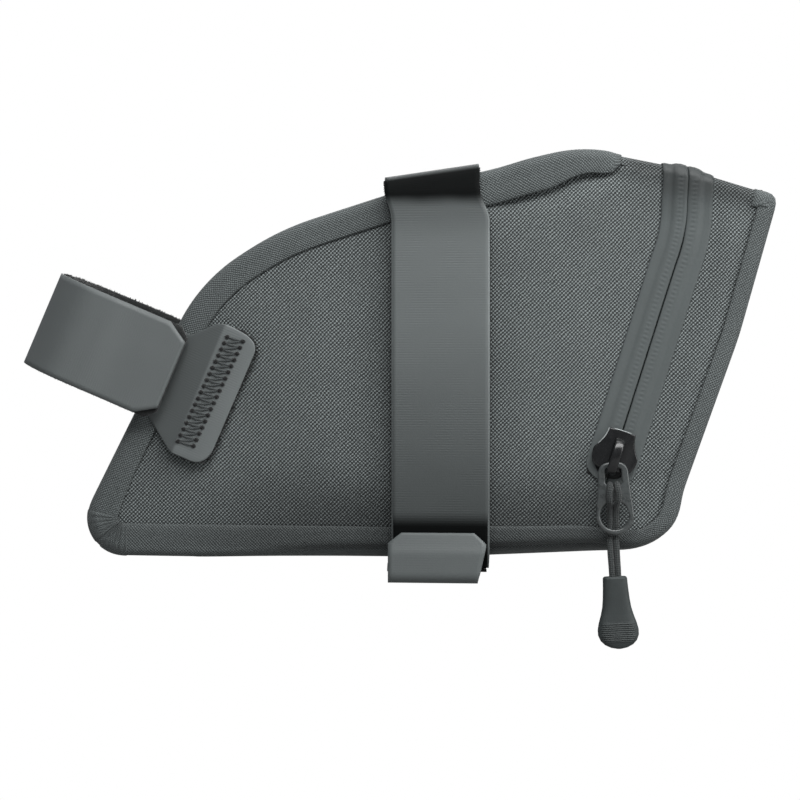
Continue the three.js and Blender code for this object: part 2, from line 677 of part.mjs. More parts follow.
function railRing(from, thickness) {
  const ring = railLoop(from + thickness, THREE.Shape);
  ring.holes.push(railLoop(from, THREE.Path));
  return acrossStrap(ring);
}

// The loose end of the strap: under the bag from the hinge, round the lower left edge and up the side.
function railTabLine(grow) {
  const y = -RAIL_LOOP.halfWidth - grow;
  const bottom = RAIL_LOOP.bottom - grow;
  const r = RAIL_LOOP.radius + grow;
  const line = new THREE.Path();
  line.moveTo(RAIL_TAB.hingeY, bottom);
  line.lineTo(y + r, bottom);
  line.quadraticCurveTo(y, bottom, y, bottom + r);
  line.lineTo(y, RAIL_TAB.topZ - RAIL_TAB.cutHeight);
  line.lineTo(y, RAIL_TAB.topZ);
  return line.getPoints(4);
}

// One layer of the loose end, with its two top corners cut.
function railTab(grow, thickness) {
  const cutZ = RAIL_TAB.topZ - RAIL_TAB.cutHeight / 2;
  const widthShare = (z) => (z > cutZ ? RAIL_TAB.cutWidthShare : 1);
  return acrossStrap(stripShape(railTabLine(grow), 0, thickness), widthShare);
}

function addRailStrap() {
  const HOOK_END = 2; // the hook patch stops this far beyond the loose end's hinge
  add("rail_strap", railRing(LAYER.film, STRAP_FILM), FINISH.strap);
  add("rail_strap_pile", railRing(0, STRAP_PILE), FINISH.pile);
  const patchTop = RAIL_LOOP.bottom - LAYER.hook;
  const patchLeft = -RAIL_LOOP.halfWidth + RAIL_LOOP.radius;
  const patchRight = RAIL_TAB.hingeY - HOOK_END;
  const patch = polygon([
    [patchLeft, patchTop],
    [patchRight, patchTop],
    [patchRight, patchTop - HOOK],
    [patchLeft, patchTop - HOOK],
  ]);
  add("rail_strap_hook", acrossStrap(patch), FINISH.pile);
  add("rail_strap_tab", railTab(LAYER.tabFilm, STRAP_FILM), FINISH.strap);
  add("rail_tab_pile", railTab(LAYER.tabPile, STRAP_PILE), FINISH.pile);
}

// ---------------------------------------------------------------- seatpost strap

// Everything on the seatpost strap is drawn in its own tilted frame: q runs along the strap towards the
// rear and a runs up the seatpost.
const POST = { low: -84.3, high: -59.4, tabEnd: -42.3, hinge: -58.6, front: -76.3 };
const ANCHOR = {
  lift: 1.2,
  thickness: 1,
  rear: -25,
  throat: -43, // where the strip starts to flare
  flare: -36.5,
  low: -90,
  high: -55,
  lowRound: 5,
  highRound: 2,
};

// The sewn patch that carries the strap: a strip under the tab that flares into a rounded plate.
function anchorShape(stripFront) {
  const STRIP_INSET = 1;
  const { rear, throat, flare, low, high, lowRound, highRound } = ANCHOR;
  const shape = new THREE.Shape();
  shape.moveTo(stripFront, POST.low + STRIP_INSET);
  shape.lineTo(throat, POST.low + STRIP_INSET);
  shape.lineTo(flare, low);
  shape.lineTo(rear - lowRound, low);
  shape.quadraticCurveTo(rear, low, rear, low + lowRound);
  shape.lineTo(rear, high - highRound);
  shape.quadraticCurveTo(rear, high, rear - highRound, high);
  shape.lineTo(flare, high);
  shape.lineTo(throat, POST.high - STRIP_INSET);
  shape.lineTo(stripFront, POST.high - STRIP_INSET);
  return shape;
}

// A sewn zigzag up the anchor.
function stitchShape() {
  const TURNS = 12;
  const HALF_HEIGHT = 13;
  const HALF_WIDTH = 2;
  const HALF_THREAD = 0.4;
  const middle = { q: -31.5, a: (ANCHOR.low + ANCHOR.high) / 2 };
  const line = [];
  for (let k = 0; k <= TURNS; k++) {
    const q = middle.q + (k % 2 === 0 ? -HALF_WIDTH : HALF_WIDTH);
    const a = middle.a + HALF_HEIGHT * ((2 * k) / TURNS - 1);
    line.push(new THREE.Vector2(q, a));
  }
  return stripShape(line, -HALF_THREAD, HALF_THREAD);
}

// The strap's loose end, with cut corners.
function postTabShape() {
  const CUT = 5;
  return polygon([
    [POST.hinge, POST.low],
    [POST.tabEnd - CUT, POST.low],
    [POST.tabEnd, POST.low + CUT],
    [POST.tabEnd, POST.high - CUT],
    [POST.tabEnd - CUT, POST.high],
    [POST.hinge, POST.high],
  ]);
}

// The strap's way round the seatpost, from the tab's hinge on the left to the anchor on the right.
function postLoopLine() {
  // q and y of the points that the strap passes; it stays clear of the bag's tapering front.
  const passed = [
    [POST.hinge - 3 * GAP, -28.4],
    [-68, -25.2],
    [-74.2, -15],
    [POST.front, 0],
    [-74.2, 15],
    [-68, 25.2],
    [POST.hinge, 29.2],
    [-44, 32.4],
  ];
  const curve = new THREE.CatmullRomCurve3(passed.map(([q, y]) => new THREE.Vector3(q, y, 0)));
  return curve.getPoints(24).map((p) => new THREE.Vector2(p.x, p.y));
}

function addPostStrap() {
  const frame = new THREE.Group();
  frame.rotation.y = POST_STRAP_TILT;
  bag.add(frame);
  const width = POST.high - POST.low;
  const half = STRAP_FILM / 2;
  const loops = [
    ["post_strap", -half, half, FINISH.strap],
    ["post_strap_pile", -half - GAP - STRAP_PILE, -half - GAP, FINISH.pile],
  ];
  for (const [name, near, far, finish] of loops) {
    const options = { depth: width, bevelEnabled: false };
    const loop = new THREE.ExtrudeGeometry(stripShape(postLoopLine(), near, far), options);
    loop.translate(0, 0, POST.low);
    add(name, closed(loop), finish, frame);
  }

  const hookLift = ANCHOR.lift + ANCHOR.thickness + GAP;
  const pileLift = hookLift + HOOK + GAP;
  const filmLift = pileLift + STRAP_PILE + GAP;
  const THREAD = 0.4;
  const hookRear = -46;
  const hookInset = 2;
  const hook = polygon([
    [POST.hinge + 1, POST.low + hookInset],
    [hookRear, POST.low + hookInset],
    [hookRear, POST.high - hookInset],
    [POST.hinge + 1, POST.high - hookInset],
  ]);
  const tab = postTabShape();
  add("post_anchor_hook", plateOnSide(hook, -1, hookLift, HOOK, POST_STRAP_TILT), FINISH.pile);
  add("post_tab_pile", plateOnSide(tab, -1, pileLift, STRAP_PILE, POST_STRAP_TILT), FINISH.pile);
  add("post_strap_tab", plateOnSide(tab, -1, filmLift, STRAP_FILM, POST_STRAP_TILT), FINISH.strap);

  for (const [name, side, stripFront] of [["left", -1, POST.hinge + 0.5], ["right", 1, -50]]) {
    const plate = plateOnSide(anchorShape(stripFront), side, ANCHOR.lift, ANCHOR.thickness, POST_STRAP_TILT);
    add("post_anchor_" + name, plate, FINISH.strap);
    const stitch = plateOnSide(stitchShape(), side, hookLift, THREAD, POST_STRAP_TILT);
    add("anchor_stitch_" + name, stitch, FINISH.thread);
  }
}

addShell();
addCornerFolds();
addZip();
addSlider();
addPullTab();
addHitch();
addCord();
addRailStrap();
addPostStrap();

export default bag;
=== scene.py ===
"""The looks of a bicycle saddle bag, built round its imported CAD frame.

Lengths here are millimetres in the frame's axes (+X to the rear, -Y to the left side, +Z up).
piece() turns them into metres. Every vertex keeps its place on the flat cloth in the attribute
cloth_mm, so that a weave follows the fabric wherever the piece bends.
"""
import math
import random

import bpy
import numpy as np
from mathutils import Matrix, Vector, noise
from mathutils.geometry import delaunay_2d_cdt


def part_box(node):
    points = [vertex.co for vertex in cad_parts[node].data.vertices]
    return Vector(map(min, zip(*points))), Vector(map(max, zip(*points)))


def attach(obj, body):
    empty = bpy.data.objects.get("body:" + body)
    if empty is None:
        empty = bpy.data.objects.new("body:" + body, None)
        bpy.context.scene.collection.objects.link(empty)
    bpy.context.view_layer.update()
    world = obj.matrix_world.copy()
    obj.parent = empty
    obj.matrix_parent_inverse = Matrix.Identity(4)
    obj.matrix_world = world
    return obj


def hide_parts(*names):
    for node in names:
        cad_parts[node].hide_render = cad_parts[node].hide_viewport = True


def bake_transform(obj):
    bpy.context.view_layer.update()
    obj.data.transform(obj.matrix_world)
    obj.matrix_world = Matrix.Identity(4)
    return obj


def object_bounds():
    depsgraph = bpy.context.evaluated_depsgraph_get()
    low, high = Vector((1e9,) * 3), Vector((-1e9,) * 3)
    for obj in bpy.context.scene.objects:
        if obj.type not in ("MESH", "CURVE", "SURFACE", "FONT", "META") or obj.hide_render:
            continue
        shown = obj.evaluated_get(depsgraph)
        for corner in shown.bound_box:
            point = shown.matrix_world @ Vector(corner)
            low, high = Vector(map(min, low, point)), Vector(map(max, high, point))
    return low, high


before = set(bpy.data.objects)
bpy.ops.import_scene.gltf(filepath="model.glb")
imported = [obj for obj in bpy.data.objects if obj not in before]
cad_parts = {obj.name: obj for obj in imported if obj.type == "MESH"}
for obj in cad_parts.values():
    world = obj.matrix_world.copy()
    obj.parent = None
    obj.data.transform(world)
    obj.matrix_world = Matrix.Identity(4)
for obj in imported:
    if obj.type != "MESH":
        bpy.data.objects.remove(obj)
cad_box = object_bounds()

MM = 0.001
random.seed(7)

# ---------------------------------------------------------------- sizes

REAR_HALF_WIDTH = round(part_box("gusset_body")[1].y / MM, 2)
FRONT_HALF_WIDTH = 23.0
FRONT_X = -88.0
PARALLEL_FROM_X = 36.0  # behind this the two sides run parallel
TAPER_POWER = 1.3
BAG_CENTRE = (0.0, 0.0, -45.0)

EDGE_RADIUS = 2.4  # rounding of the bag's long edges
SKIN = 0.7  # thickness of the laminated fabric
PANEL_DEPTH = 0.95  # a side panel starts this far under the outer face
TOP_DEPTH = 0.25  # and the top panel this far
CROWN = 3.0  # how far a side panel bulges
SAG = 2.9  # how far the belly hangs
FABRIC_STEP = 1.5  # spacing of the points of a fabric piece
CLOTH_FRAMES = 20
FOLD_HEIGHT = 0.7  # the cloth's swelling along the line where the lid folds
PLEAT = {"pitch": 1.9, "height": 0.2, "patch": 0.22}  # the pleated patches at the toe
# Soft folds that start under the tongue: direction in degrees, length, half width and height.
TONGUE_FOLDS_FROM = (43, 1)
TONGUE_FOLDS = [(-118, 44, 3.4, 0.45), (-142, 58, 4.2, 0.5), (-160, 50, 3.6, 0.35)]

# The folds of the band over the side panels.
BODY_LAP = 7.0
BELLY_LAP = 8.3
LID_LAP = 4.6
UNDER_LAP = 1.4  # how far a panel's edge is tucked under the fold
TONGUE_ROUNDING = 5.0

# The side outline, anticlockwise: name, x, z and the corner's rounding radius.
OUTLINE = [
    ("lap_end", 79.5, -3.0, 0),
    ("zip_top", 62.75, 2.1, 30),
    ("tongue_end", 46.0, 5.4, 20),
    ("peak", 36.3, 7.3, 37),
    ("strap_front", -12.3, -4.1, 60),
    ("shoulder", -39.7, -12.8, 70),
    ("brow", -60.1, -25.7, 44),
    ("toe", -95.2, -95.6, 9.5),
    ("belly", 0.0, -96.0, 0),
    ("heel_low", 52.0, -93.7, 16),
    ("heel", 60.4, -86.5, 12),
    ("fold", 61.5, -79.0, 14),
    ("rear_bulge", 75.5, -40.0, 90),
    ("rear_top", 85.5, -4.4, 2),
]

ZIP_LOW = (43.4, -72.5)
ZIP_BEND = (61.9, -14.2)
ZIP_TOP = (62.75, 2.1)
ZIP_GAP = 1.2  # from the zip's middle to the panel beside it
FILM_HALF = 6.4
FILM_THICKNESS = 0.35
COIL_HALF = 5.4  # with its backing
TOOTH_PITCH = 1.1
# The rounded low end of the zip's film, opened round the slider.
GARAGE = {"middle": -70.6, "half": 4.7, "open": 4.5, "low": -76.4, "round": 4.2}

# On the bag the lid folds along a line between these two. LID_BLEND holds two points, the upper one 30 mm
# above that line, but the pieces given it are only baked in place.
SPLIT_FRONT = (44.6, -72.9)
SPLIT_BACK = (58.6, -78.2)
LID_BLEND = ("bag", "lid", (52.5, 0.0, -75.75), (62.5, 0.0, -47.45))

STRAP_WIDTH = 24.4
STRAP_THICKNESS = 0.9
PILE_THICKNESS = 0.8
RAIL_STRAP_SLOPE = 0.141
RAIL_LOOP = {"half": 40.3, "middle": 0.8, "top": 0.0, "bottom": -96.1, "radius": 5.0}
RAIL_TAB = {"top": -88.8, "grow": 4.2, "bend": 2.4}

POST_TILT = math.radians(23)
POST = {"low": -84.3, "high": -59.4, "tab_end": -42.3, "hinge": -58.6}
POST_MIDDLE = (POST["low"] + POST["high"]) / 2
FAR_RUN_RAISED = 0.4  # the seatpost strap's right run sits higher than its left one
ANCHOR = {"rear": -25.0, "crease": -34.6, "low": -90.0, "high": -54.6}
STITCH = {"rows": 18, "low": -86.6, "high": -57.4, "middle": -31.6, "half": 2.05, "lean": 0.65}
THREAD_RADIUS = 0.36
NEEDLE_HOLE_RADIUS = 0.6

SLIDER = {"x": 44.73, "z": -68.3, "face": 43.4}
BAR = Vector((43.674, -44.85, -71.636))  # the tab turns on this bar
TAB = {"ring": 4.8, "drop": 12.8, "hole": 3.55, "thickness": 1.3, "lean": math.radians(2.5)}
CORD_RADIUS = 0.8
GRIP = {"drop": 27.9, "length": 18.0, "lean": math.radians(3.7), "out": 0.35, "half_thickness": 2.0}
GRIP_RIBS = {"pitch": 0.5, "height": 0.09, "rim": 0.9}

# ---------------------------------------------------------------- curves


def mix(a, b, share):
    return a + (b - a) * share


def clamp(share):
    return min(max(share, 0.0), 1.0)


def smooth(value, low, high):
    share = clamp((value - low) / (high - low))
    return share * share * (3 - 2 * share)


def unit(rows):
    """Each row scaled to length 1."""
    return rows / np.linalg.norm(rows, axis=1)[:, None]


def turned_left(rows):
    return np.stack([-rows[:, 1], rows[:, 0]], axis=1)


def run_lengths(points):
    """The way from the first point to each point."""
    return np.r_[0, np.cumsum(np.linalg.norm(np.diff(points, axis=0), axis=1))]


def dense(points, step):
    """A polyline's points, evenly spaced about step apart."""
    points = np.array(points, float)
    lengths = run_lengths(points)
    count = max(2, int(round(lengths[-1] / step)) + 1)
    at = np.linspace(0, lengths[-1], count)
    return np.stack([np.interp(at, lengths, points[:, k]) for k in range(points.shape[1])], axis=1)


def offset(line, lift):
    """A line moved to its right by lift."""
    return line - turned_left(unit(np.gradient(line, axis=0))) * lift


def arc(x, z, radius, first, last, steps):
    return [(x + radius * math.cos(t), z + radius * math.sin(t)) for t in np.linspace(first, last, steps + 1)]


def bezier(a, b, c, steps=6):
    """Points of a quadratic curve from a to c, pulled towards b."""
    a, b, c = (np.array(p, float) for p in (a, b, c))
    return [(1 - t) ** 2 * a + 2 * t * (1 - t) * b + t * t * c for t in np.linspace(0, 1, steps + 1)]


def catmull_rom(points, steps):
    """A smooth curve through points, with that many steps between each two."""
    points = [np.array(p, float) for p in points]
    ends = [2 * points[0] - points[1]] + points + [2 * points[-1] - points[-2]]
    curve = []
    for i in range(1, len(ends) - 2):
        a, b, c, d = ends[i - 1 : i + 3]
        for k in range(steps):
            t = k / steps
            curve.append(0.5 * (2 * b + (c - a) * t + (2 * a - 5 * b + 4 * c - d) * t**2
                                + (3 * b - a - 3 * c + d) * t**3))
    return np.array(curve + [points[-1]])


def without_repeats(loop):
    """A loop without points that repeat."""
    kept = []
    for p in loop:
        if not kept or math.dist(p, kept[-1]) > 1e-3:
            kept.append(tuple(p))
    if math.dist(kept[0], kept[-1]) < 1e-3:
        kept.pop()
    return np.array(kept)


def round_corner(before, at, after, radius):
    """Points of the arc that rounds a corner."""
    back = (before - at) / np.linalg.norm(before - at)
    onward = (after - at) / np.linalg.norm(after - at)
    turn = math.pi - math.acos(np.clip(back @ onward, -1, 1))
    if radius == 0 or turn < 1e-3:
        return [at]
    middle = (back + onward) / np.linalg.norm(back + onward)
    centre = at + middle * radius / math.cos(turn / 2)
    arm = at + back * radius * math.tan(turn / 2) - centre
    way = -np.sign(onward[0] * back[1] - onward[1] * back[0])
    steps = max(3, int(radius * turn))
    points = []
    for k in range(steps + 1):
        angle = -way * turn * k / steps
        c, s = math.cos(angle), math.sin(angle)
        points.append(centre + np.array([c * arm[0] - s * arm[1], s * arm[0] + c * arm[1]]))
    return points


# ---------------------------------------------------------------- the bag's form


def make_outline():
    """The whole outline as even points, with the index of each named corner."""
    corners = [np.array(c[1:3], float) for c in OUTLINE]
    points = []
    for i, (*_, radius) in enumerate(OUTLINE):
        points += round_corner(corners[i - 1], corners[i], corners[(i + 1) % len(corners)], radius)
    line = dense(points + [points[0]], 0.5)[:-1]
    for _ in range(12):
        line = (np.roll(line, 1, axis=0) + 2 * line + np.roll(line, -1, axis=0)) / 4
    index = {c[0]: int(np.argmin(np.linalg.norm(line - p, axis=1))) for c, p in zip(OUTLINE, corners)}
    return line, index


OUTLINE_LINE, OUTLINE_INDEX = make_outline()


def outline_run(first, last, step=FABRIC_STEP):
    """Points, inward normals and lengths along the outline from one named corner to another."""
    count = len(OUTLINE_LINE)
    start, stop = OUTLINE_INDEX[first], OUTLINE_INDEX[last]
    indices = np.arange(start, stop + 1 + (count if stop < start else 0)) % count
    inward = unit(turned_left(np.roll(OUTLINE_LINE, -2, axis=0) - np.roll(OUTLINE_LINE, 2, axis=0)))
    run = dense(np.hstack([OUTLINE_LINE, inward])[indices], step)
    return run[:, :2], unit(run[:, 2:]), run_lengths(run[:, :2])


TOP_LINE = outline_run("lap_end", "peak", 1.0)[0][::-1]
REAR_LINE = outline_run("fold", "rear_top")[0]
TOP_HALF = REAR_HALF_WIDTH - EDGE_RADIUS
EDGE_ARC = EDGE_RADIUS * math.pi / 2


def half_width(x):
    """Half the bag's width at x: parallel at the rear, tapering to the front."""
    along = np.maximum(PARALLEL_FROM_X - x, 0) / (PARALLEL_FROM_X - FRONT_X)
    return REAR_HALF_WIDTH - (REAR_HALF_WIDTH - FRONT_HALF_WIDTH) * along**TAPER_POWER


def top_z(x):
    """Height of the top edge behind the tongue."""
    return float(np.interp(x, TOP_LINE[:, 0], TOP_LINE[:, 1]))


def rear_x(z):
    return float(np.interp(z, REAR_LINE[:, 1], REAR_LINE[:, 0]))


def skin(x, along, lift):
    """A point on the bag behind the tongue. `along` is measured from the middle of the top: below 0 down
    the left side, above 0 down the right. `lift` is the height above the outer face."""
    way = math.copysign(1, along)
    run = abs(along) - TOP_HALF
    top = top_z(x)
    radius = EDGE_RADIUS + lift
    if run <= 0:
        return (x, along, top + lift)
    if run <= EDGE_ARC:
        angle = run / EDGE_RADIUS
        return (x, way * (TOP_HALF + radius * math.sin(angle)), top - EDGE_RADIUS + radius * math.cos(angle))
    return (x, way * (TOP_HALF + radius), top - EDGE_RADIUS - (run - EDGE_ARC))


def along_at(x, z):
    """How far from the middle of the top a point at height z on a side is."""
    return TOP_HALF + EDGE_ARC + top_z(x) - EDGE_RADIUS - z


def zip_x(z):
    """The zip's centre line: a straight rise that softly bends upright near the top."""
    rising = ZIP_LOW[0] + (z - ZIP_LOW[1]) * (ZIP_BEND[0] - ZIP_LOW[0]) / (ZIP_BEND[1] - ZIP_LOW[1])
    upper = ZIP_BEND[0] + (z - ZIP_BEND[1]) * (ZIP_TOP[0] - ZIP_BEND[0]) / (ZIP_TOP[1] - ZIP_BEND[1])
    softness = 2.0
    blend = clamp(0.5 + 0.5 * (upper - rising) / softness)
    return mix(upper, rising, blend) - softness * blend * (1 - blend) * 0.5


def zip_tilt(z):
    return math.atan2(zip_x(z + 1) - zip_x(z - 1), 2)


# ---------------------------------------------------------------- meshes


def grid_faces(rows, columns, close_rows=False, close_columns=False):
    """Quads between rows x columns points, listed row by row."""
    faces = []
    for r in range(rows if close_rows else rows - 1):
        for c in range(columns if close_columns else columns - 1):
            r2, c2 = (r + 1) % rows, (c + 1) % columns
            faces.append((r * columns + c, r * columns + c2, r2 * columns + c2, r2 * columns + c))
    return faces


def sheet(rows, columns, at, closed=False):
    """A grid of points. at(row, share) gives a point and its place on the cloth."""
    found = [at(row, k / columns) for row in rows for k in range(columns + 1)]
    points, cloth = zip(*found)
    return points, grid_faces(len(rows), columns + 1, close_rows=closed), cloth


def closed_bar(rows, around, at):
    """A bar with flat ends. at(row, angle) gives a point and its place on the cloth."""
    angles = [2 * math.pi * k / around for k in range(around)]
    points, cloth = zip(*[at(row, angle) for row in rows for angle in angles])
    faces = grid_faces(len(rows), around, close_columns=True)
    faces += [tuple(range(around)), tuple(range(len(points) - around, len(points)))[::-1]]
    return points, faces, cloth


def squared(value, power):
    """A sine or cosine raised so that a circle becomes a rounded rectangle."""
    return math.copysign(abs(value) ** power, value)


def tube(path, radius, sides):
    """A closed tube along a path, with rounded ends."""
    path = np.array(path, float)
    along = unit(np.gradient(path, axis=0))
    side = np.cross(along[0], (0.3, 0.9, 0.31))
    points, cloth, length = [], [], 0.0
    ends = {0: 0.35, 1: 0.85, len(path) - 2: 0.85, len(path) - 1: 0.35}
    for k, (p, t) in enumerate(zip(path, along)):
        side = side - t * (side @ t)
        side /= np.linalg.norm(side)
        other = np.cross(t, side)
        length += np.linalg.norm(p - path[k - 1]) if k else 0
        r = radius * ends.get(k, 1.0)
        for j in range(sides):
            angle = 2 * math.pi * j / sides
            points.append(p + r * (math.cos(angle) * side + math.sin(angle) * other))
            cloth.append((length, angle * radius, 0))
    faces = grid_faces(len(path), sides, close_columns=True)
    faces.append(tuple(range(sides))[::-1])
    faces.append(tuple(range((len(path) - 1) * sides, len(path) * sides)))
    return points, faces, cloth


def joined(shapes):
    """Several shapes as one."""
    points, faces, cloth = [], [], []
    for p, f, c in shapes:
        start = len(points)
        points += list(p)
        faces += [tuple(start + i for i in face) for face in f]
        cloth += list(c)
    return points, faces, cloth


def fringe(line, outward, length, density, width):
    """Short tapering fibres that stand out along an edge."""
    push = np.array(outward, float)
    push /= np.linalg.norm(push)
    points, faces, cloth = [], [], []
    for k, base in enumerate(dense(line, 1 / density)):
        wander = np.array([random.uniform(-1, 1) for _ in range(3)])
        tip = base + push * length * random.uniform(0.35, 1.0) + wander * length * 0.45
        root = base - push * 0.3 + wander * 0.1
        axis = tip - root
        side = np.cross(axis, wander + (0.01, 0.02, 0.03))
        side /= np.linalg.norm(side)
        other = np.cross(axis, side) / np.linalg.norm(axis)
        start = len(points)
        for j in range(3):
            angle = 2 * math.pi * j / 3
            points.append(root + width * (math.cos(angle) * side + math.sin(angle) * other))
        points.append(tip)
        cloth += [(k, 0, 0)] * 4
        faces += [(start, start + 1, start + 3), (start + 1, start + 2, start + 3),
                  (start + 2, start, start + 3), (start + 2, start + 1, start)]
    return points, faces, cloth


def inside(points, loop):
    """Which points lie inside a closed loop."""
    result = np.zeros(len(points), bool)
    for (x1, z1), (x2, z2) in zip(loop, np.roll(loop, -1, axis=0)):
        if z1 == z2:
            continue
        crosses = (points[:, 1] < z1) != (points[:, 1] < z2)
        at = x1 + (points[:, 1] - z1) * (x2 - x1) / (z2 - z1)
        result ^= crosses & (points[:, 0] < at)
    return result


def edge_distance(points, line, closed=True):
    """The distance of each point to a line, or to a loop when it is closed."""
    nearest = np.full(len(points), 1e9)
    ends = np.roll(line, -1, axis=0)
    for a, b in list(zip(line, ends))[: None if closed else -1]:
        way = b - a
        share = np.clip((points - a) @ way / max(way @ way, 1e-12), 0, 1)
        nearest = np.minimum(nearest, np.linalg.norm(points - a - share[:, None] * way, axis=1))
    return nearest


def flat_mesh(loop, spacing, holes=(), insets=()):
    """Even triangles that fill a closed loop, leaving out the holes: points and faces. Rings of points
    follow every edge at the given insets."""
    loops = [dense(np.vstack([l, l[:1]]), spacing)[:-1] for l in (loop, *holes)]
    rings = []
    for k, l in enumerate(loops):
        normal = turned_left(unit(np.roll(l, -1, axis=0) - np.roll(l, 1, axis=0)))
        area = np.sum(l[:, 0] * np.roll(l[:, 1], -1) - np.roll(l[:, 0], -1) * l[:, 1])
        way = np.sign(area) * (1 if k == 0 else -1)
        rings += [l + normal * way * inset for inset in insets]
    low, high = loops[0].min(0), loops[0].max(0)
    rows = np.arange(low[1], high[1], spacing * math.sqrt(3) / 2)
    grid = np.array([(x + spacing / 2 * (r % 2), z) for r, z in enumerate(rows)
                     for x in np.arange(low[0], high[0], spacing)])
    clear = max(insets, default=0) + spacing * 0.55
    keep = inside(grid, loops[0]) & (edge_distance(grid, loops[0]) > clear)
    for hole in loops[1:]:
        keep &= ~inside(grid, hole) & (edge_distance(grid, hole) > clear)
    points, edges = [], []
    for l in loops + rings:
        start = len(points)
        points += [Vector(p) for p in l]
        edges += [(start + i, start + (i + 1) % len(l)) for i in range(len(l))]
    points += [Vector(p) for p in grid[keep]]
    found, _, faces, *_ = delaunay_2d_cdt(points, edges, [], 1, 1e-6)
    found = np.array([tuple(p) for p in found])
    centres = np.array([found[list(f)].mean(0) for f in faces])
    keep = inside(centres, loops[0])
    for hole in loops[1:]:
        keep &= ~inside(centres, hole)
    return found, [tuple(f) for f, k in zip(faces, keep) if k]


def plate(loop, spacing, place, rounding, holes=()):
    """The face of a flat plate with rounded edges. place(a, b, out) puts a flat point in its place."""
    insets = [rounding * share for share in (0.08, 0.3, 0.62, 1.0)]
    flat, faces = flat_mesh(loop, spacing, holes, insets)
    distance = np.min([edge_distance(flat, edge) for edge in (loop, *holes)], axis=0)
    short = np.clip(1 - distance / rounding, 0, 1)
    drop = rounding * (1 - np.sqrt(1 - short**2))
    return [place(a, b, -d) for (a, b), d in zip(flat, drop)], faces, [(a, b, 0) for a, b in flat]


def add_object(name, data):
    obj = bpy.data.objects.new(name, data)
    bpy.context.scene.collection.objects.link(obj)
    return obj


def piece(name, shape, material, body, slot, *nodes, away_from=None, sharp=35, thickness=0.0, crisp=()):
    """A piece in metres that stands for CAD nodes and rides a body. Given a blend between two bodies instead,
    it is only baked in place.

    shape holds points, faces and places on the cloth. Faces are turned away from a point where one is
    given, and edges between two of the crisp points are not shaded smooth.
    """
    points, faces, cloth = shape
    mesh = bpy.data.meshes.new(name)
    mesh.from_pydata([tuple(float(c) * MM for c in p) for p in points], [], [tuple(f) for f in faces])
    mesh.validate()
    if away_from is not None:
        centre = Vector(away_from) * MM
        outward = sum((p.center - centre).normalized().dot(p.normal) * p.area for p in mesh.polygons)
        if outward < 0:
            mesh.flip_normals()
    attribute = mesh.attributes.new("cloth_mm", "FLOAT_VECTOR", "POINT")
    attribute.data.foreach_set("vector", np.array(cloth, np.float32).ravel())
    mesh.polygons.foreach_set("use_smooth", [True] * len(mesh.polygons))
    mesh.set_sharp_from_angle(angle=math.radians(sharp))
    crisp = set(crisp)
    for edge in mesh.edges if crisp else ():
        if crisp.issuperset(edge.vertices):
            edge.use_edge_sharp = True
    mesh.materials.append(material)
    obj = add_object(name, mesh)
    if thickness:
        skin_modifier = obj.modifiers.new("skin", "SOLIDIFY")
        skin_modifier.thickness = thickness * MM
        skin_modifier.offset = -1.0
        skin_modifier.use_even_offset = False
    if nodes:
        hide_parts(*nodes)
    if isinstance(body, str):
        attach(obj, body)
    else:
        start, end = ([c * MM for c in place] for place in body[2:])
        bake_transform(obj)
        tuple(start)
        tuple(end)


def use_material(node, material):
    """Gives a CAD node that stays in view its material."""
    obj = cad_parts[node]
    obj.data.materials.clear()
    obj.data.materials.append(material)


# ---------------------------------------------------------------- materials


class Value:
    """A number that a shader works out at each point. It can be added, subtracted and multiplied."""

    def __init__(self, tree, socket):
        self.tree = tree
        self.socket = socket

    def node(self, kind, inputs, **settings):
        """Puts this and more values through a new node."""
        node = self.tree.nodes.new("ShaderNode" + kind)
        for name, setting in settings.items():
            setattr(node, name, setting)
        for name, value in inputs.items():
            if isinstance(value, Value):
                self.tree.links.new(value.socket, node.inputs[name])
            else:
                node.inputs[name].default_value = value
        return Value(self.tree, node.outputs[0])

    def math(self, operation, other=0.0):
        return self.node("Math", {0: self, 1: other}, operation=operation)

    def __add__(self, other):
        return self.math("ADD", other)

    def __sub__(self, other):
        return self.math("SUBTRACT", other)

    def __mul__(self, other):
        return self.math("MULTIPLY", other)

    def __rsub__(self, other):
        return self * -1.0 + other

    def wave(self, pitch):
        """A sine from -1 to 1."""
        return (self * (2 * math.pi / pitch)).math("SINE")

    def ramp(self, low, high, to_low, to_high, kind="LINEAR"):
        """Goes from to_low to to_high as the value goes from low to high."""
        inputs = {0: self, 1: low, 2: high, 3: to_low, 4: to_high}
        return self.node("MapRange", inputs, interpolation_type=kind)

    def ease(self, low, high, to_low, to_high):
        """A ramp with soft ends."""
        return self.ramp(low, high, to_low, to_high, "SMOOTHSTEP")

    def noise(self, scale, detail=3.0, roughness=0.55):
        """Noise at the places that this value holds."""
        inputs = {"Vector": self, "Scale": scale, "Detail": detail, "Roughness": roughness}
        return self.node("TexNoise", inputs)

    def parts(self):
        """The three parts of a place."""
        node = self.node("SeparateXYZ", {0: self}).socket.node
        return [Value(self.tree, socket) for socket in node.outputs]

    def tint(self, colour):
        """A colour multiplied by this brightness."""
        return self.node("VectorMath", {0: colour, "Scale": self}, operation="SCALE")

    def bump(self, distance, strength=1.0):
        return self.node("Bump", {"Height": self, "Distance": distance * MM, "Strength": strength})


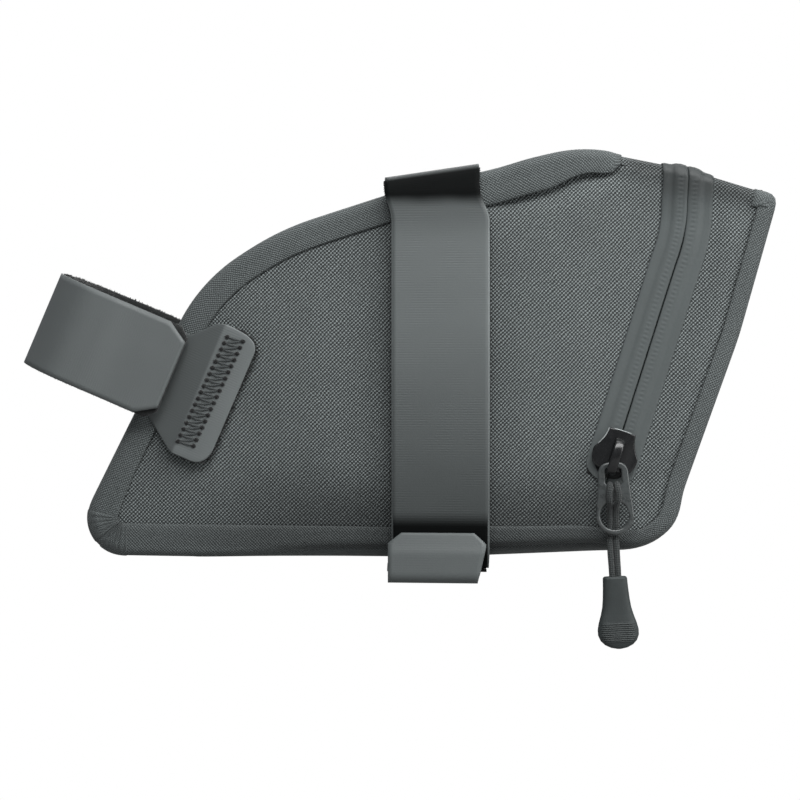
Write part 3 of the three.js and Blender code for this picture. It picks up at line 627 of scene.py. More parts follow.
class Shader:
    """One node material."""

    def __init__(self, name):
        self.material = bpy.data.materials.new(name)
        self.material.use_nodes = True
        self.tree = self.material.node_tree

    def cloth(self):
        """The place on the flat cloth in millimetres."""
        attribute = self.tree.nodes.new("ShaderNodeAttribute")
        attribute.attribute_name = "cloth_mm"
        return Value(self.tree, attribute.outputs["Vector"])

    def place(self):
        """The place in the object in millimetres."""
        where = Value(self.tree, self.tree.nodes.new("ShaderNodeTexCoord").outputs["Object"])
        return where.node("VectorMath", {0: where, "Scale": 1 / MM}, operation="SCALE")

    def finish(self, **values):
        """Sets the surface's inputs and gives the material."""
        surface = self.tree.nodes["Principled BSDF"]
        for name, value in values.items():
            socket = surface.inputs[name.replace("_", " ")]
            if isinstance(value, Value):
                self.tree.links.new(value.socket, socket)
            else:
                socket.default_value = value
        return self.material


def woven_material(name, colour, pitch, contrast, depth, shade):
    """Coated woven fabric: staggered yarn tops in slanting rows and a slow cloudiness. The yarn tops are
    painted lighter, a painted highlight of the coating's sheen, and the pores darker, painted shade.
    shade(shader) gives the painted shade: how much darker the fabric is from place to place."""
    s = Shader(name)
    cloth = s.cloth()
    u, v, _ = cloth.parts()
    drift = (cloth.noise(0.35, 2.0) - 0.5) * (pitch * 0.55)
    u, v = u + drift, v - drift
    rows = ((u - v) * (2 * math.pi / pitch)).math("COSINE")
    steps = ((u + v) * (2 * math.pi / pitch)).math("COSINE")
    grit = cloth.noise(3.1, 2.0, 0.7).ramp(0.25, 0.75, -0.35, 0.35)
    tops = (rows * 0.62 - steps * 0.45 + grit).ease(-0.6, 0.8, 0.0, 1.0)
    # Painted highlight on the yarn tops and painted shade in the pores, as strong as contrast.
    tone = tops.ramp(0.0, 1.0, 1 - contrast, 1 + contrast) * cloth.noise(0.045).ramp(0.3, 0.7, 0.94, 1.06)
    return s.finish(
        Base_Color=(tone * shade(s)).tint(colour),
        Roughness=tops.ramp(0.0, 1.0, 0.85, 0.55),
        Specular_IOR_Level=0.4,
        Sheen_Weight=0.1,
        Sheen_Roughness=0.5,
        Normal=tops.bump(depth),
    )


def panel_shade(shader):
    """Painted shade: the panels are painted darker above the bottom seam, where the cloth turns in, and just
    under the top edge behind the tongue, where it curves over.
    """
    x, height, _ = shader.cloth().parts()
    under_top = height + (x - ZIP_TOP[0]) * 0.25
    shaded = under_top.ease(-6.5, -0.5, 0.0, 0.5) * x.ramp(42.0, 50.0, 0.0, 1.0)
    middle = x.ease(-72.0, -30.0, 0.0, 1.0) * x.ease(30.0, 52.0, 1.0, 0.0)
    return 1.0 - shaded - height.ease(-68.0, -87.0, 0.0, 0.5) * middle


def band_shade(shader):
    """Painted shade: the band is painted darker on its bottom fold, which lies in the belly's shade."""
    x, _, height = shader.place().parts()
    lap = height.ease(-86.0, -88.5, 0.0, 1.0) * height.ease(-94.0, -92.5, 0.0, 1.0)
    middle = x.ease(-78.0, -40.0, 0.3, 1.0) * x.ease(40.0, 58.0, 1.0, 0.2)
    return 1.0 - lap * middle * 0.42


def film_material():
    """The zip's laminated film: smooth and satin, with a faint grain. Over the top it is painted darker, a
    painted dark reflection where it curves over.
    """
    s = Shader("zip_film")
    cloth = s.cloth()
    across, along, _ = cloth.parts()
    grain = cloth.noise(1.6, 3.0, 0.6)
    tone = grain.ramp(0.3, 0.7, 0.95, 1.05) * cloth.noise(0.06, 2.0).ramp(0.3, 0.7, 0.95, 1.05)
    # Painted dark reflection over the top edge.
    tone = tone * along.math("ABSOLUTE").ease(44.5, 52.0, 0.42, 1.0)
    return s.finish(
        Base_Color=tone.tint((0.092, 0.106, 0.106)),
        Roughness=grain.ramp(0.3, 0.7, 0.5, 0.6),
        Normal=(grain + across.wave(0.9) * 0.12).bump(0.05, 0.7),
    )


def no_painted_light(shader, across, height, cloud):
    return 1.0


def anchor_painted_light(shader, across, height, cloud):
    """Painted light and shade: the patch is painted darker ahead of its crease, where it turns in, and
    lighter behind it.
    """
    return across.ease(ANCHOR["crease"] - 0.5, ANCHOR["crease"] + 0.3, 0.8, 1.22)


def rail_strap_painted_light(shader, across, height, cloud):
    """Painted light on the rail strap's left side: painted nearly black where it turns over the top edge (a
    painted dark reflection), painted darker towards the bottom (painted shade) and painted nearly black just
    above its loose end (a painted shadow of the end). Low down its cut edges stay light."""
    # Painted dark reflection over the top edge, painted shade low down and a painted shadow above the loose
    # end.
    wavy = height + cloud.ramp(0.3, 0.7, -0.6, 0.6)
    bend = wavy.ease(-8.5, -4.4, 0.0, 1.0) * height.ease(0.4, 1.7, 1.0, 0.35)
    cut_edge = across.math("ABSOLUTE").ease(11.6, 12.0, 0.0, 1.4)
    end = height.ease(-83.0, -87.5, 1.0, 0.08).math("MAXIMUM", cut_edge)
    painted_dark = bend.ramp(0.0, 1.0, 1.0, 0.06) * height.ease(-18.0, -7.0, 1.0, 0.72)
    painted_dark = painted_dark * height.ramp(-36.0, -84.0, 1.0, 0.5) * end
    left = shader.place().parts()[1].ease(0.0, -24.0, 0.0, 1.0)
    return painted_dark * left + (1.0 - left)


def strap_material(name, colour, painted_light=no_painted_light, ribbed=0.5):
    """Coated webbing: smooth, with patches of fine ribs across it."""
    s = Shader(name)
    cloth = s.cloth()
    across, along, height = cloth.parts()
    grain = cloth.noise(2.2, 3.0, 0.65)
    cloud = cloth.noise(0.05, 2.0)
    patches = cloth.noise(0.12, 1.0).ease(0.4, 0.62, 0.15, 1.0)
    tone = grain.ramp(0.3, 0.7, 0.97, 1.03) * cloud.ramp(0.3, 0.7, 0.97, 1.03)
    # The strap's painted shade, shadow and reflection, where it has any, are multiplied in here.
    tone = tone * painted_light(s, across, height, cloud)
    return s.finish(
        Base_Color=tone.tint(colour),
        Roughness=grain.ramp(0.3, 0.7, 0.46, 0.56),
        Specular_IOR_Level=tone * 0.5,
        Normal=(along.wave(0.62) * patches * ribbed + grain).bump(0.03, 0.7),
    )


def grainy_material(name, colour, grain, spread, tones, roughness, bump, by_cloth=False, **more):
    """One even grain, given as its scale, detail and roughness. It sets the brightness, the surface's
    roughness and the relief."""
    s = Shader(name)
    value = (s.cloth() if by_cloth else s.place()).noise(*grain)
    return s.finish(
        Base_Color=value.ramp(*spread, *tones).tint(colour),
        Roughness=value.ramp(0.3, 0.7, *roughness),
        Normal=value.bump(*bump),
        **more,
    )


def fuzzy_material(name, colour):
    """Black hook-and-loop: rough, with light fibre ends."""
    return grainy_material(name, colour, (2.6, 4.0, 0.75), (0.58, 0.72), (0.7, 3.2), (0.95, 0.95),
                           (0.35, 1.0), Sheen_Weight=0.25)


def metal_material(name, colour, roughness, coat=0.4):
    """Painted metal, slightly worn."""
    return grainy_material(name, colour, (0.8, 4.0, 0.7), (0.3, 0.7), (0.7, 1.4),
                           (roughness, roughness + 0.1), (0.015, 0.4), Coat_Weight=coat, Coat_Roughness=0.1)


def rubber_material():
    """Moulded rubber with a fine matt grain and a slow cloudiness."""
    s = Shader("grip_rubber")
    place = s.place()
    grain = place.noise(3.0, 3.0, 0.7)
    return s.finish(
        Base_Color=place.noise(0.15, 2.0).ramp(0.3, 0.7, 0.85, 1.12).tint((0.038, 0.046, 0.046)),
        Roughness=grain.ramp(0.3, 0.7, 0.5, 0.66),
        Normal=grain.bump(0.04, 0.8),
    )


def cord_material():
    """Braided cord: two crossing sets of yarns."""
    s = Shader("braided_cord")
    cloth = s.cloth()
    along, around, _ = cloth.parts()
    slant = around * 0.9
    tops = ((along + slant).wave(0.9) * (along - slant).wave(0.9)).ease(-0.5, 0.7, 0.0, 1.0)
    tone = tops.ramp(0.0, 1.0, 0.55, 1.35) * cloth.noise(2.5).ramp(0.3, 0.7, 0.8, 1.2)
    return s.finish(
        Base_Color=tone.tint((0.034, 0.040, 0.040)),
        Roughness=0.8,
        Sheen_Weight=0.2,
        Normal=tops.bump(0.16),
    )


def thread_material():
    """Twisted sewing thread."""
    s = Shader("anchor_thread")
    along, around, _ = s.cloth().parts()
    twist = (along + around * 0.7).wave(0.5)
    return s.finish(
        Base_Color=twist.ramp(-1.0, 1.0, 0.7, 1.2).tint((0.085, 0.095, 0.095)),
        Roughness=0.75,
        Normal=twist.bump(0.05),
    )


PANEL_CLOTH = woven_material("panel_weave", (0.154, 0.174, 0.174), 0.98, 0.78, 0.26, panel_shade)
BAND_CLOTH = woven_material("band_weave", (0.112, 0.127, 0.127), 0.8, 0.42, 0.14, band_shade)
FILM = film_material()
RAIL_STRAP = strap_material("rail_strap_coating", (0.140, 0.156, 0.156), rail_strap_painted_light)
STRAP_ENDS = strap_material("strap_end_coating", (0.128, 0.142, 0.142))
RAIL_END = strap_material("rail_strap_end_coating", (0.118, 0.132, 0.132), ribbed=0.15)
ANCHOR_STRAP = strap_material("anchor_coating", (0.128, 0.142, 0.142), anchor_painted_light)
PILE = fuzzy_material("strap_pile", (0.012, 0.014, 0.014))
HOOK = fuzzy_material("strap_hook", (0.014, 0.016, 0.016))
# Near-black: painted shade inside the needle holes.
NEEDLE_HOLE = fuzzy_material("needle_hole", (0.004, 0.005, 0.005))
METAL = metal_material("gloss_black_metal", (0.0065, 0.007, 0.0075), 0.2)
# The pull tab's metal is lighter than the slider's black: a painted reflection of the light on its faces.
TAB_METAL_PAINTED_REFLECTION = metal_material("tab_metal_painted_reflection", (0.055, 0.062, 0.062), 0.24, 0.7)
# Light grey metal for the slider's edges: a painted highlight.
PAINTED_HIGHLIGHT_METAL = metal_material("painted_highlight_metal", (0.42, 0.45, 0.45), 0.3)
CORD = cord_material()
RUBBER = rubber_material()
THREAD = thread_material()
BOARD = grainy_material("stiffener_plastic", (0.03, 0.033, 0.034), (1.4, 2.0, 0.5), (0.3, 0.7), (0.85, 1.2),
                        (0.6, 0.6), (0.12, 1.0))
COIL = grainy_material("zip_coil", (0.010, 0.012, 0.012), (3.0, 3.0, 0.7), (0.3, 0.7), (0.6, 1.5),
                       (0.6, 0.6), (0.05, 1.0), by_cloth=True)

# ---------------------------------------------------------------- shell


def belly_sag(x, z):
    """How far the belly hangs below the edges of the bottom wall."""
    return SAG * smooth(x, -62, -18) * (1 - smooth(x, 36, 60)) if z < -85 else 0.0


def body_lap(s, total, point):
    """The fold's width on the body: a rounded tongue at its end, widest beside the strap, then even."""
    x, z = point
    tongue = math.sqrt(max(1 - (1 - min(s / TONGUE_ROUNDING, 1)) ** 2, 0))
    wide = 6.0 + 2.8 * (1 - smooth(x, 24, 40))
    on_top = mix(BODY_LAP, wide, smooth(x, -14, 10))
    below = mix(BELLY_LAP, BELLY_LAP - 0.8, smooth(x, 0, 36))
    lap = mix(below, on_top, smooth(z, -88, -70))
    near_heel = smooth(s, total - 38, total - 12)
    return mix(EDGE_RADIUS + 0.4, mix(lap, LID_LAP, near_heel), tongue)


def lid_lap(s, total, point):
    return LID_LAP


def gusset(first, last, lap_of, sag_of):
    """The strip round the outline: it folds over both side panels. Rows run along the outline."""
    quarter = [math.pi / 2 * k / 4 for k in range(5)]
    wall = np.sin(np.linspace(math.pi / 2, -math.pi / 2, 25))[1:-1]
    outline, inward, lengths = outline_run(first, last)
    points, cloth = [], []
    for p, n, s in zip(outline, inward, lengths):
        lap = lap_of(s, lengths[-1], p)
        drop = sag_of(*p)
        cheek = [(lap * share + (drop + EDGE_RADIUS) * (1 - share), depth) for share, depth in
                 ((1.0, 0.3), (0.93, -0.02), (0.75, -0.16), (0.5, -0.12), (0.25, -0.03))]
        cheek += [(drop + EDGE_RADIUS * (1 - math.sin(a)), EDGE_RADIUS * (1 - math.cos(a))) for a in quarter]
        row = []
        for inset, depth in cheek:
            q = p + n * inset
            row.append((q[0], -(half_width(q[0]) - depth), q[1]))
        for share in wall:
            bulge = math.sqrt(1 - abs(share) ** 4)
            q = p + n * drop * (1 - bulge) - n * 0.3 * bulge * (drop > 0)
            row.append((q[0], -(half_width(p[0]) - EDGE_RADIUS) * share, q[1]))
        row += [(x, -y, z) for x, y, z in row[: len(cheek)][::-1]]
        points += row
        cloth += [(s, across, 0) for across in run_lengths(np.array(row))]
    return points, grid_faces(len(outline), len(row)), cloth


def add_gussets():
    points, faces, cloth = gusset("tongue_end", "fold", body_lap, belly_sag)
    lifted = []
    for x, y, z in points:
        proud = 0.75 * smooth(x, 14, 24) * (1 - 0.75 * smooth(x, 42, 46.3)) * (z > -30)
        out = np.sign(y) * proud if abs(y) > 30 else 0.0
        lifted.append((x, y + out, z + proud * 0.6))
    end = [k for k, place in enumerate(cloth) if place[0] == cloth[-1][0]]
    piece("gusset_body_shell", (lifted, faces, cloth), BAND_CLOTH, "bag", "shell_fabric", "gusset_body",
          away_from=BAG_CENTRE, thickness=SKIN, crisp=end)

    shape = gusset("fold", "lap_end", lid_lap, lambda x, z: 0.0)
    start = [k for k, place in enumerate(shape[2]) if place[0] == 0]
    piece("lid_gusset_shell", shape, BAND_CLOTH, LID_BLEND, "shell_fabric", "lid_gusset",
          away_from=BAG_CENTRE, thickness=SKIN, crisp=start)


def side_loop():
    """The outline of one side panel of the body, in the side view."""
    outline, inward, lengths = outline_run("tongue_end", "fold")
    edge = []
    for p, n, s in zip(outline, inward, lengths):
        tuck = body_lap(s, lengths[-1], p) - UNDER_LAP
        edge.append(p + n * mix(EDGE_RADIUS, tuck, smooth(s, 1, 9)))
    edge += [SPLIT_BACK, SPLIT_FRONT]
    top_z_here = top_z(ZIP_TOP[0]) - EDGE_RADIUS
    edge += [(zip_x(z) - ZIP_GAP, z) for z in np.linspace(ZIP_LOW[1], top_z_here, 30)]
    top_run = np.linspace(zip_x(ZIP_TOP[1]) - ZIP_GAP, edge[0][0], 8)[1:-1]
    return np.array(edge + [(x, top_z(x) - EDGE_RADIUS) for x in top_run])


def wrinkles(x, z):
    """Soft folds that run down from the tongue, and a slow unevenness."""
    value = 0.5 * noise.noise(Vector((x / 26, z / 26, 3.7)))
    value += 0.22 * noise.noise(Vector((x / 9, z / 13, 9.1)))
    dx, dz = x - TONGUE_FOLDS_FROM[0], z - TONGUE_FOLDS_FROM[1]
    for angle, reach, width, height in TONGUE_FOLDS:
        c, s = math.cos(math.radians(angle)), math.sin(math.radians(angle))
        run = dx * c + dz * s
        off = -dx * s + dz * c
        if run > 0:
            value += height * math.exp(-((off / (width + run * 0.06)) ** 2)) * (1 - smooth(run, 8, reach))
    return value


def cloth_rise(flat, faces, pinned):
    """How far a sewn-down sheet swells under even pressure: 0 at its edge, 1 where it swells most."""
    mesh = bpy.data.meshes.new("swelling_sheet")
    mesh.from_pydata([(x / 10, 0, z / 10) for x, z in flat], [], faces)  # centimetres suit the solver
    swelling = add_object("swelling_sheet", mesh)
    sewn = swelling.vertex_groups.new(name="sewn")
    sewn.add([int(k) for k in np.nonzero(pinned)[0]], 1.0, "REPLACE")
    cloth = swelling.modifiers.new("cloth", "CLOTH")
    stiff_laminate = {
        "quality": 4,
        "mass": 0.3,
        "air_damping": 5.0,
        "tension_stiffness": 25.0,
        "compression_stiffness": 25.0,
        "bending_stiffness": 2.0,
        "use_pressure": True,
        "uniform_pressure_force": 2.0,
        "vertex_group_mass": "sewn",
    }
    for name, value in stiff_laminate.items():
        setattr(cloth.settings, name, value)
    cloth.settings.effector_weights.gravity = 0.0
    cloth.collision_settings.use_collision = False
    for number in range(1, CLOTH_FRAMES + 1):
        bpy.context.scene.frame_set(number)
    swollen = swelling.evaluated_get(bpy.context.evaluated_depsgraph_get())
    rise = np.abs(np.array([v.co.y for v in swollen.data.vertices]))
    bpy.context.scene.frame_set(1)
    bpy.data.objects.remove(swelling)
    bpy.data.meshes.remove(mesh)
    return np.clip(rise / max(np.percentile(rise, 99.5), 1e-6), 0, 1)


def film_distance(x, z):
    """How far in front of or below the zip's film a point of the left side lies: below 0 under the film."""
    beside = (zip_x(z) - x) * math.cos(zip_tilt(z)) - FILM_HALF
    below = GARAGE["low"] - z
    return beside if below < 0 else math.hypot(max(beside, 0), below)


def fold_level(share):
    """Height of the cloth above its sewn edges along the line where the lid folds: 0 at both ends."""
    return FOLD_HEIGHT * smooth(share, 0.42, 0.62) * (1 - smooth(share, 0.7, 1))


def add_side_panels():
    loop = side_loop()
    flat, faces = flat_mesh(loop, FABRIC_STEP)
    front, back = np.array(SPLIT_FRONT), np.array(SPLIT_BACK)
    fold = back - front
    fold_share = np.clip((flat - front) @ fold / (fold @ fold), 0, 1)
    fold_gap = np.linalg.norm(flat - front - fold_share[:, None] * fold, axis=1)
    after_fold = int(np.argmin(np.linalg.norm(loop - front, axis=1)))
    seam_gap = edge_distance(flat, np.roll(loop, -after_fold, axis=0), closed=False)
    film_gap = np.array([film_distance(x, z) for x, z in flat])
    gap = np.maximum(np.minimum(seam_gap, film_gap), 0)
    swell = cloth_rise(flat, faces, gap < 0.05)
    split = [k for k, distance in enumerate(fold_gap) if distance < 0.05]
    for name, side in (("side_panel_left", -1), ("side_panel_right", 1)):
        points = []
        for k, (x, z) in enumerate(flat):
            from_strap = abs(x - RAIL_LOOP["middle"]) - STRAP_WIDTH / 2
            pressed = 1 - 0.3 * (1 - smooth(from_strap, -3, 9))
            rise = CROWN * swell[k] * pressed + wrinkles(x, z + 40 * (side > 0)) * smooth(gap[k], 0, 9)
            by_tongue = smooth(x, 12, 18) * (1 - smooth(x, 43, 46)) * (z > -22 + x * 0.2)
            rise -= 0.8 * by_tongue * (1 - smooth(seam_gap[k], 1.6, 5.5)) * smooth(seam_gap[k], 0, 1.2)
            rise = mix(fold_level(fold_share[k]), rise, smooth(fold_gap[k], 0, 9))
            to_top = smooth(x, 44, 48) * smooth(z, -12, -2)
            depth = mix(PANEL_DEPTH, TOP_DEPTH, to_top)
            points.append((x, side * (half_width(x) - depth + rise * (1 - to_top)), z))
        shape = points, faces, [(x, z, 0) for x, z in flat]
        piece(name + "_cloth", shape, PANEL_CLOTH, "bag", "shell_fabric", name,
              away_from=BAG_CENTRE, thickness=SKIN, crisp=split)


def add_strip_over_top(name, front, rear, lift, columns, low, body, node):
    """A panel up the left side, over the top and down the right. front(down) and rear(down) are its
    edges' x and z, lift(share, down) is its height above the outer face, and down runs from 0 at the
    top edge to 1 at z = low."""
    reach = along_at(ZIP_TOP[0], low)

    def at(along, share):
        run = abs(along) - TOP_HALF - EDGE_ARC
        down = max(run, 0) / (reach - TOP_HALF - EDGE_ARC)
        (x1, z1), (x2, z2) = front(down), rear(down)
        x, z = mix(x1, x2, share), mix(z1, z2, share)
        place = math.copysign(along_at(x, z), along) if run > 0 else along
        return skin(x, place, lift(share, down)), (x, along_at(x, 0) - abs(place), 0)

    rows = np.linspace(-reach, reach, int(2 * reach / FABRIC_STEP) | 1)
    shape = sheet(rows, columns, at)
    count = len(shape[0])
    low_ends = [k for k in range(count) if k <= columns or k >= count - columns - 1]
    piece(name, shape, PANEL_CLOTH, body, "shell_fabric", node,
          away_from=BAG_CENTRE, thickness=SKIN, crisp=low_ends)


def add_top_panel():
    def edge(x):
        return lambda down: (x, top_z(x) - EDGE_RADIUS)

    low = top_z(ZIP_TOP[0]) - EDGE_RADIUS - 0.01
    add_strip_over_top("top_panel_cloth", edge(43.0), edge(zip_x(0) - ZIP_GAP),
                       lambda share, down: -TOP_DEPTH, 12, low, "bag", "top_panel")


def add_lid_panel():
    tuck = LID_LAP - UNDER_LAP

    def front(down):
        z = mix(top_z(63.0) - EDGE_RADIUS, SPLIT_FRONT[1], down)
        return (mix(zip_x(z) + ZIP_GAP, SPLIT_FRONT[0], smooth(down, 0.9, 1)), z)

    def rear(down):
        z = mix(top_z(80.0) - EDGE_RADIUS, SPLIT_BACK[1], down)
        return (mix(rear_x(z) - tuck, SPLIT_BACK[0], smooth(down, 0.9, 1)), z)

    def lift(share, down):
        width = rear(down)[0] - front(down)[0]
        beside_film = smooth(share * width, FILM_HALF - 1, FILM_HALF + 4)
        crown = 1.1 * beside_film * smooth((1 - share) * width, 0, 5) * smooth(down, 0, 0.2)
        crown = mix(crown, fold_level(share), smooth(down, 0.86, 1))
        return -mix(TOP_DEPTH, PANEL_DEPTH, smooth(down, 0.0, 0.1)) + crown

    add_strip_over_top("lid_panel_cloth", front, rear, lift, 20, SPLIT_FRONT[1], LID_BLEND, "lid_panel")


def corner_patch(side, start, stop, reach):
    """One pleated patch at the toe, from start to stop along the outline."""
    outline, inward, lengths = outline_run("brow", "belly", 0.25)
    lengths = lengths - lengths[int(np.argmin(outline @ np.array([1.0, 1.0])))]
    chosen = [k for k, s in enumerate(lengths) if start <= s <= stop]
    insets = list(np.linspace(reach, EDGE_RADIUS, 9))
    points, cloth = [], []
    for k in chosen:
        s = lengths[k]
        ends = smooth(s, start, start + 0.5) * (1 - smooth(s, stop - 0.5, stop))
        pleat = PLEAT["height"] * (0.5 - 0.5 * math.cos(2 * math.pi * s / PLEAT["pitch"])) ** 0.6 * ends
        for inset in insets:
            q = outline[k] + inward[k] * inset
            rise = PLEAT["patch"] * ends + pleat * smooth(inset, reach, reach - 1)
            points.append((q[0], side * (half_width(q[0]) + rise), q[1]))
            cloth.append((inset, s, 0))
        for angle in (30, 60, 90):
            a = math.radians(angle)
            proud = 0.14 * ends
            q = outline[k] + inward[k] * (EDGE_RADIUS * (1 - math.sin(a)) - proud * math.sin(a))
            y = half_width(q[0]) - EDGE_RADIUS * (1 - math.cos(a)) + proud * math.cos(a)
            points.append((q[0], side * y, q[1]))
            cloth.append((-a * EDGE_RADIUS, s, 0))
    return points, grid_faces(len(chosen), len(insets) + 3), cloth


def add_corner_folds():
    """Two short pleated patches round the toe, sewn over the band."""
    for name, side in (("left", -1), ("right", 1)):
        patches = joined([corner_patch(side, -9.6, -0.4, 7.4), corner_patch(side, 0.5, 8.6, 8.2)])
        piece("corner_fold_" + name + "_pleats", patches, BAND_CLOTH, "bag", "shell_fabric",
              "corner_fold_" + name, away_from=BAG_CENTRE, thickness=0.5)


# ---------------------------------------------------------------- zip


def film_inner(z, along):
    """Distance of the film's inner edge from the zip's middle: a thin slot, opened round the slider."""
    share = (z - GARAGE["middle"]) / GARAGE["half"]
    slot = mix(0.12, 0.02, smooth(z, -18, -10))
    return slot + (GARAGE["open"] * math.sqrt(max(1 - share * share, 0)) if along < 0 else 0)


def film_outer(z):
    share = clamp((GARAGE["low"] + GARAGE["round"] - z) / GARAGE["round"])
    return max(FILM_HALF * math.sqrt(1 - share * share), 0.2)


def depth_beside_zip(z):
    return mix(PANEL_DEPTH, TOP_DEPTH, smooth(z, -12, -2))


def film_lift(c, s, z):
    """The film stands on the panel, rises over the coil, and shows the coil's turns as small bumps."""
    ridge = 1 - smooth(c, 2.6, 4.4)
    lip = smooth(0.6 - c, 0, 0.55)
    under_slider = smooth(z, GARAGE["middle"] - 2, GARAGE["middle"] + 9)
    turn = max(math.cos(2 * math.pi * s / TOOTH_PITCH), 0) ** 0.7
    bump = turn * math.exp(-(((c - 1.75) / 0.6) ** 2)) * 0.1
    edge = 0.18 * smooth(c, FILM_HALF, FILM_HALF - 0.7)
    return -depth_beside_zip(z) + 0.32 + edge + (0.5 * ridge + bump - 0.22 * lip) * mix(0.35, 1, under_slider)


def coil_lift(c, s, z):
    """The coil on its backing: turns that stand up beside the middle."""
    turn = 0.5 + 0.5 * math.cos(2 * math.pi * s / TOOTH_PITCH)
    coil = math.exp(-(((c - 1.2) / 0.8) ** 2))
    return -depth_beside_zip(z) + 0.12 + 0.3 * coil * (0.5 + 0.5 * turn)


def zip_strip(way, inner, outer, lift, columns, low):
    """Half of a strip along the zip: way is -1 in front of its middle and 1 behind. Distances are square
    to the zip; lift(c, s, z) is the height above the outer face at distance c and length s."""
    reach = along_at(ZIP_TOP[0], low)
    top = top_z(ZIP_TOP[0])

    def at(along, share):
        run = abs(along) - TOP_HALF - EDGE_ARC
        z = top - EDGE_RADIUS - max(run, 0)
        tilt = zip_tilt(z) if run > 0 else 0.0
        near = inner(z, along)
        c = mix(near, max(outer(z), near + 0.05), share)
        x = zip_x(z) + way * c * math.cos(tilt)
        down = abs(along) + way * c * math.sin(tilt)
        place = math.copysign(down + top_z(x) - top, along)
        return skin(x, place, lift(c, along, z)), (way * c, along, 0)

    rows = np.linspace(-reach, reach, int(2 * reach / (TOOTH_PITCH / 4)) | 1)
    return sheet(rows, columns, at)


def add_zip():
    for part, way, body in (("body", -1, "bag"), ("lid", 1, LID_BLEND)):
        film = zip_strip(way, film_inner, film_outer, film_lift, 22, GARAGE["low"])
        piece("zip_film_" + part, film, FILM, body, "zip_film", "zip_tape_" + part,
              away_from=BAG_CENTRE, thickness=FILM_THICKNESS)
        coil = zip_strip(way, lambda z, s: 0.02, lambda z: COIL_HALF, coil_lift, 9, GARAGE["low"] + 0.8)
        piece("zip_coil_" + part + "_teeth", coil, COIL, body, "zip_coil", "zip_coil_" + part,
              away_from=BAG_CENTRE, thickness=0.2)
    for side in ("left", "right"):
        use_material("zip_stop_" + side, METAL)


def on_slider(across, along, out):
    """A point beside the slider: across the zip, up along it and out from the slider's face."""
    tilt = zip_tilt(SLIDER["z"])
    x = SLIDER["x"] + across * math.cos(tilt) + along * math.sin(tilt)
    z = SLIDER["z"] - across * math.sin(tilt) + along * math.cos(tilt)
    return (x, -(SLIDER["face"] + out), z)


def add_slider():
    """The crown with its pinched sides, light edges that carry a painted highlight, and the arched bridge."""
    right = bezier((3.45, 5.0), (3.5, 2.2), (5.7, -0.6))
    right += bezier((5.7, -0.6), (6.0, -2.4), (5.0, -4.2))
    right += bezier((5.0, -4.2), (4.2, -5.2), (2.6, -5.2))
    top = bezier((-3.45, 5.0), (0, 5.3), (3.45, 5.0))
    left = [(-a, b) for a, b in right]

    def crown(a, b, out):
        dish = 0.4 * smooth(abs(a), 1.2, 5.0) + 0.1 * smooth(b, 2.0, 5)
        return on_slider(a, b, 0.15 - dish + out)

    face = plate(without_repeats(top + right + left[::-1]), 0.4, crown, 0.3)
    piece("slider_crown", face, METAL, "slider", "slider_metal", "slider_body",
          away_from=(SLIDER["x"], 0, SLIDER["z"]), sharp=80, thickness=0.6)

    # Thin light tubes along the crown's top edge and left flare: a painted highlight of its rounded edges.
    rims = [tube([crown(a, b, 0.05) for a, b in dense(rim, 0.3)], 0.13, 6) for rim in (top[1:-1], left[:6])]
    piece("slider_painted_highlight_edges", joined(rims), PAINTED_HIGHLIGHT_METAL, "slider", "slider_metal", sharp=60)

    arch = [(2.6, -0.3), (2.5, 1.4), (1.9, 2.9), (0.2, 3.75), (-2.6, 3.85), (-4.8, 3.2), (-5.6, 1.6),
            (-5.6, -0.1)]
    line = catmull_rom(arch, 6)
    half_bar, half_thick = 1.2, 0.72

    def on_bridge(row, angle):
        (along, out), (ta, to) = row
        side = half_bar * squared(math.cos(angle), 0.5)
        rise = half_thick * squared(math.sin(angle), 0.5)
        return on_slider(side, along - to * rise, out + ta * rise), (side, rise, 0)

    bridge = closed_bar(list(zip(line, unit(np.gradient(line, axis=0)))), 20, on_bridge)
    piece("slider_bridge_bar", bridge, METAL, "slider", "slider_metal", "slider_bridge",
          away_from=on_slider(0, -1.5, 0), sharp=60)


def on_tab(across, down, out=0.0):
    """A point on the hanging pull tab: across it, down from the bar and out from its middle."""
    c, s = math.cos(TAB["lean"]), math.sin(TAB["lean"])
    return (BAR.x + across * c + down * s, BAR.y - out, BAR.z + across * s - down * c)


def add_pull_tab():
    """A plate that widens to a ring, with a slot for the bar and the cord and a round hole."""
    left = bezier((-2.4, 0.2), (-3.5, -0.4), (-3.75, -1.8), 5) + [(-4.1, -6.0), (-TAB["ring"], -TAB["drop"])]
    bottom = arc(0, -TAB["drop"], TAB["ring"], math.pi, 2 * math.pi, 24)
    top = bezier((2.4, 0.2), (0, 1.15), (-2.4, 0.2), 8)
    loop = without_repeats(top + left + bottom + [(-a, b) for a, b in left[::-1]])
    slot_top = bezier((1.9, -1.3), (0, -0.1), (-1.9, -1.3), 6)
    slot_low = bezier((-2.1, -4.7), (0, -6.4), (2.1, -4.7), 8)
    slot = without_repeats(slot_top + slot_low)
    hole = np.array(arc(-0.15, -TAB["drop"] + 0.05, TAB["hole"], 0, 2 * math.pi, 48)[:-1])

    def place(a, b, out):
        return on_tab(a, -b, TAB["thickness"] / 2 + out)

    rounding = 0.5
    piece("pull_tab_plate", plate(loop, 0.45, place, rounding, [slot, hole]), TAB_METAL_PAINTED_REFLECTION, "puller",
          "slider_metal", "pull_tab", away_from=(BAR.x, 0, BAR.z - 8), sharp=80,
          thickness=TAB["thickness"] - rounding)


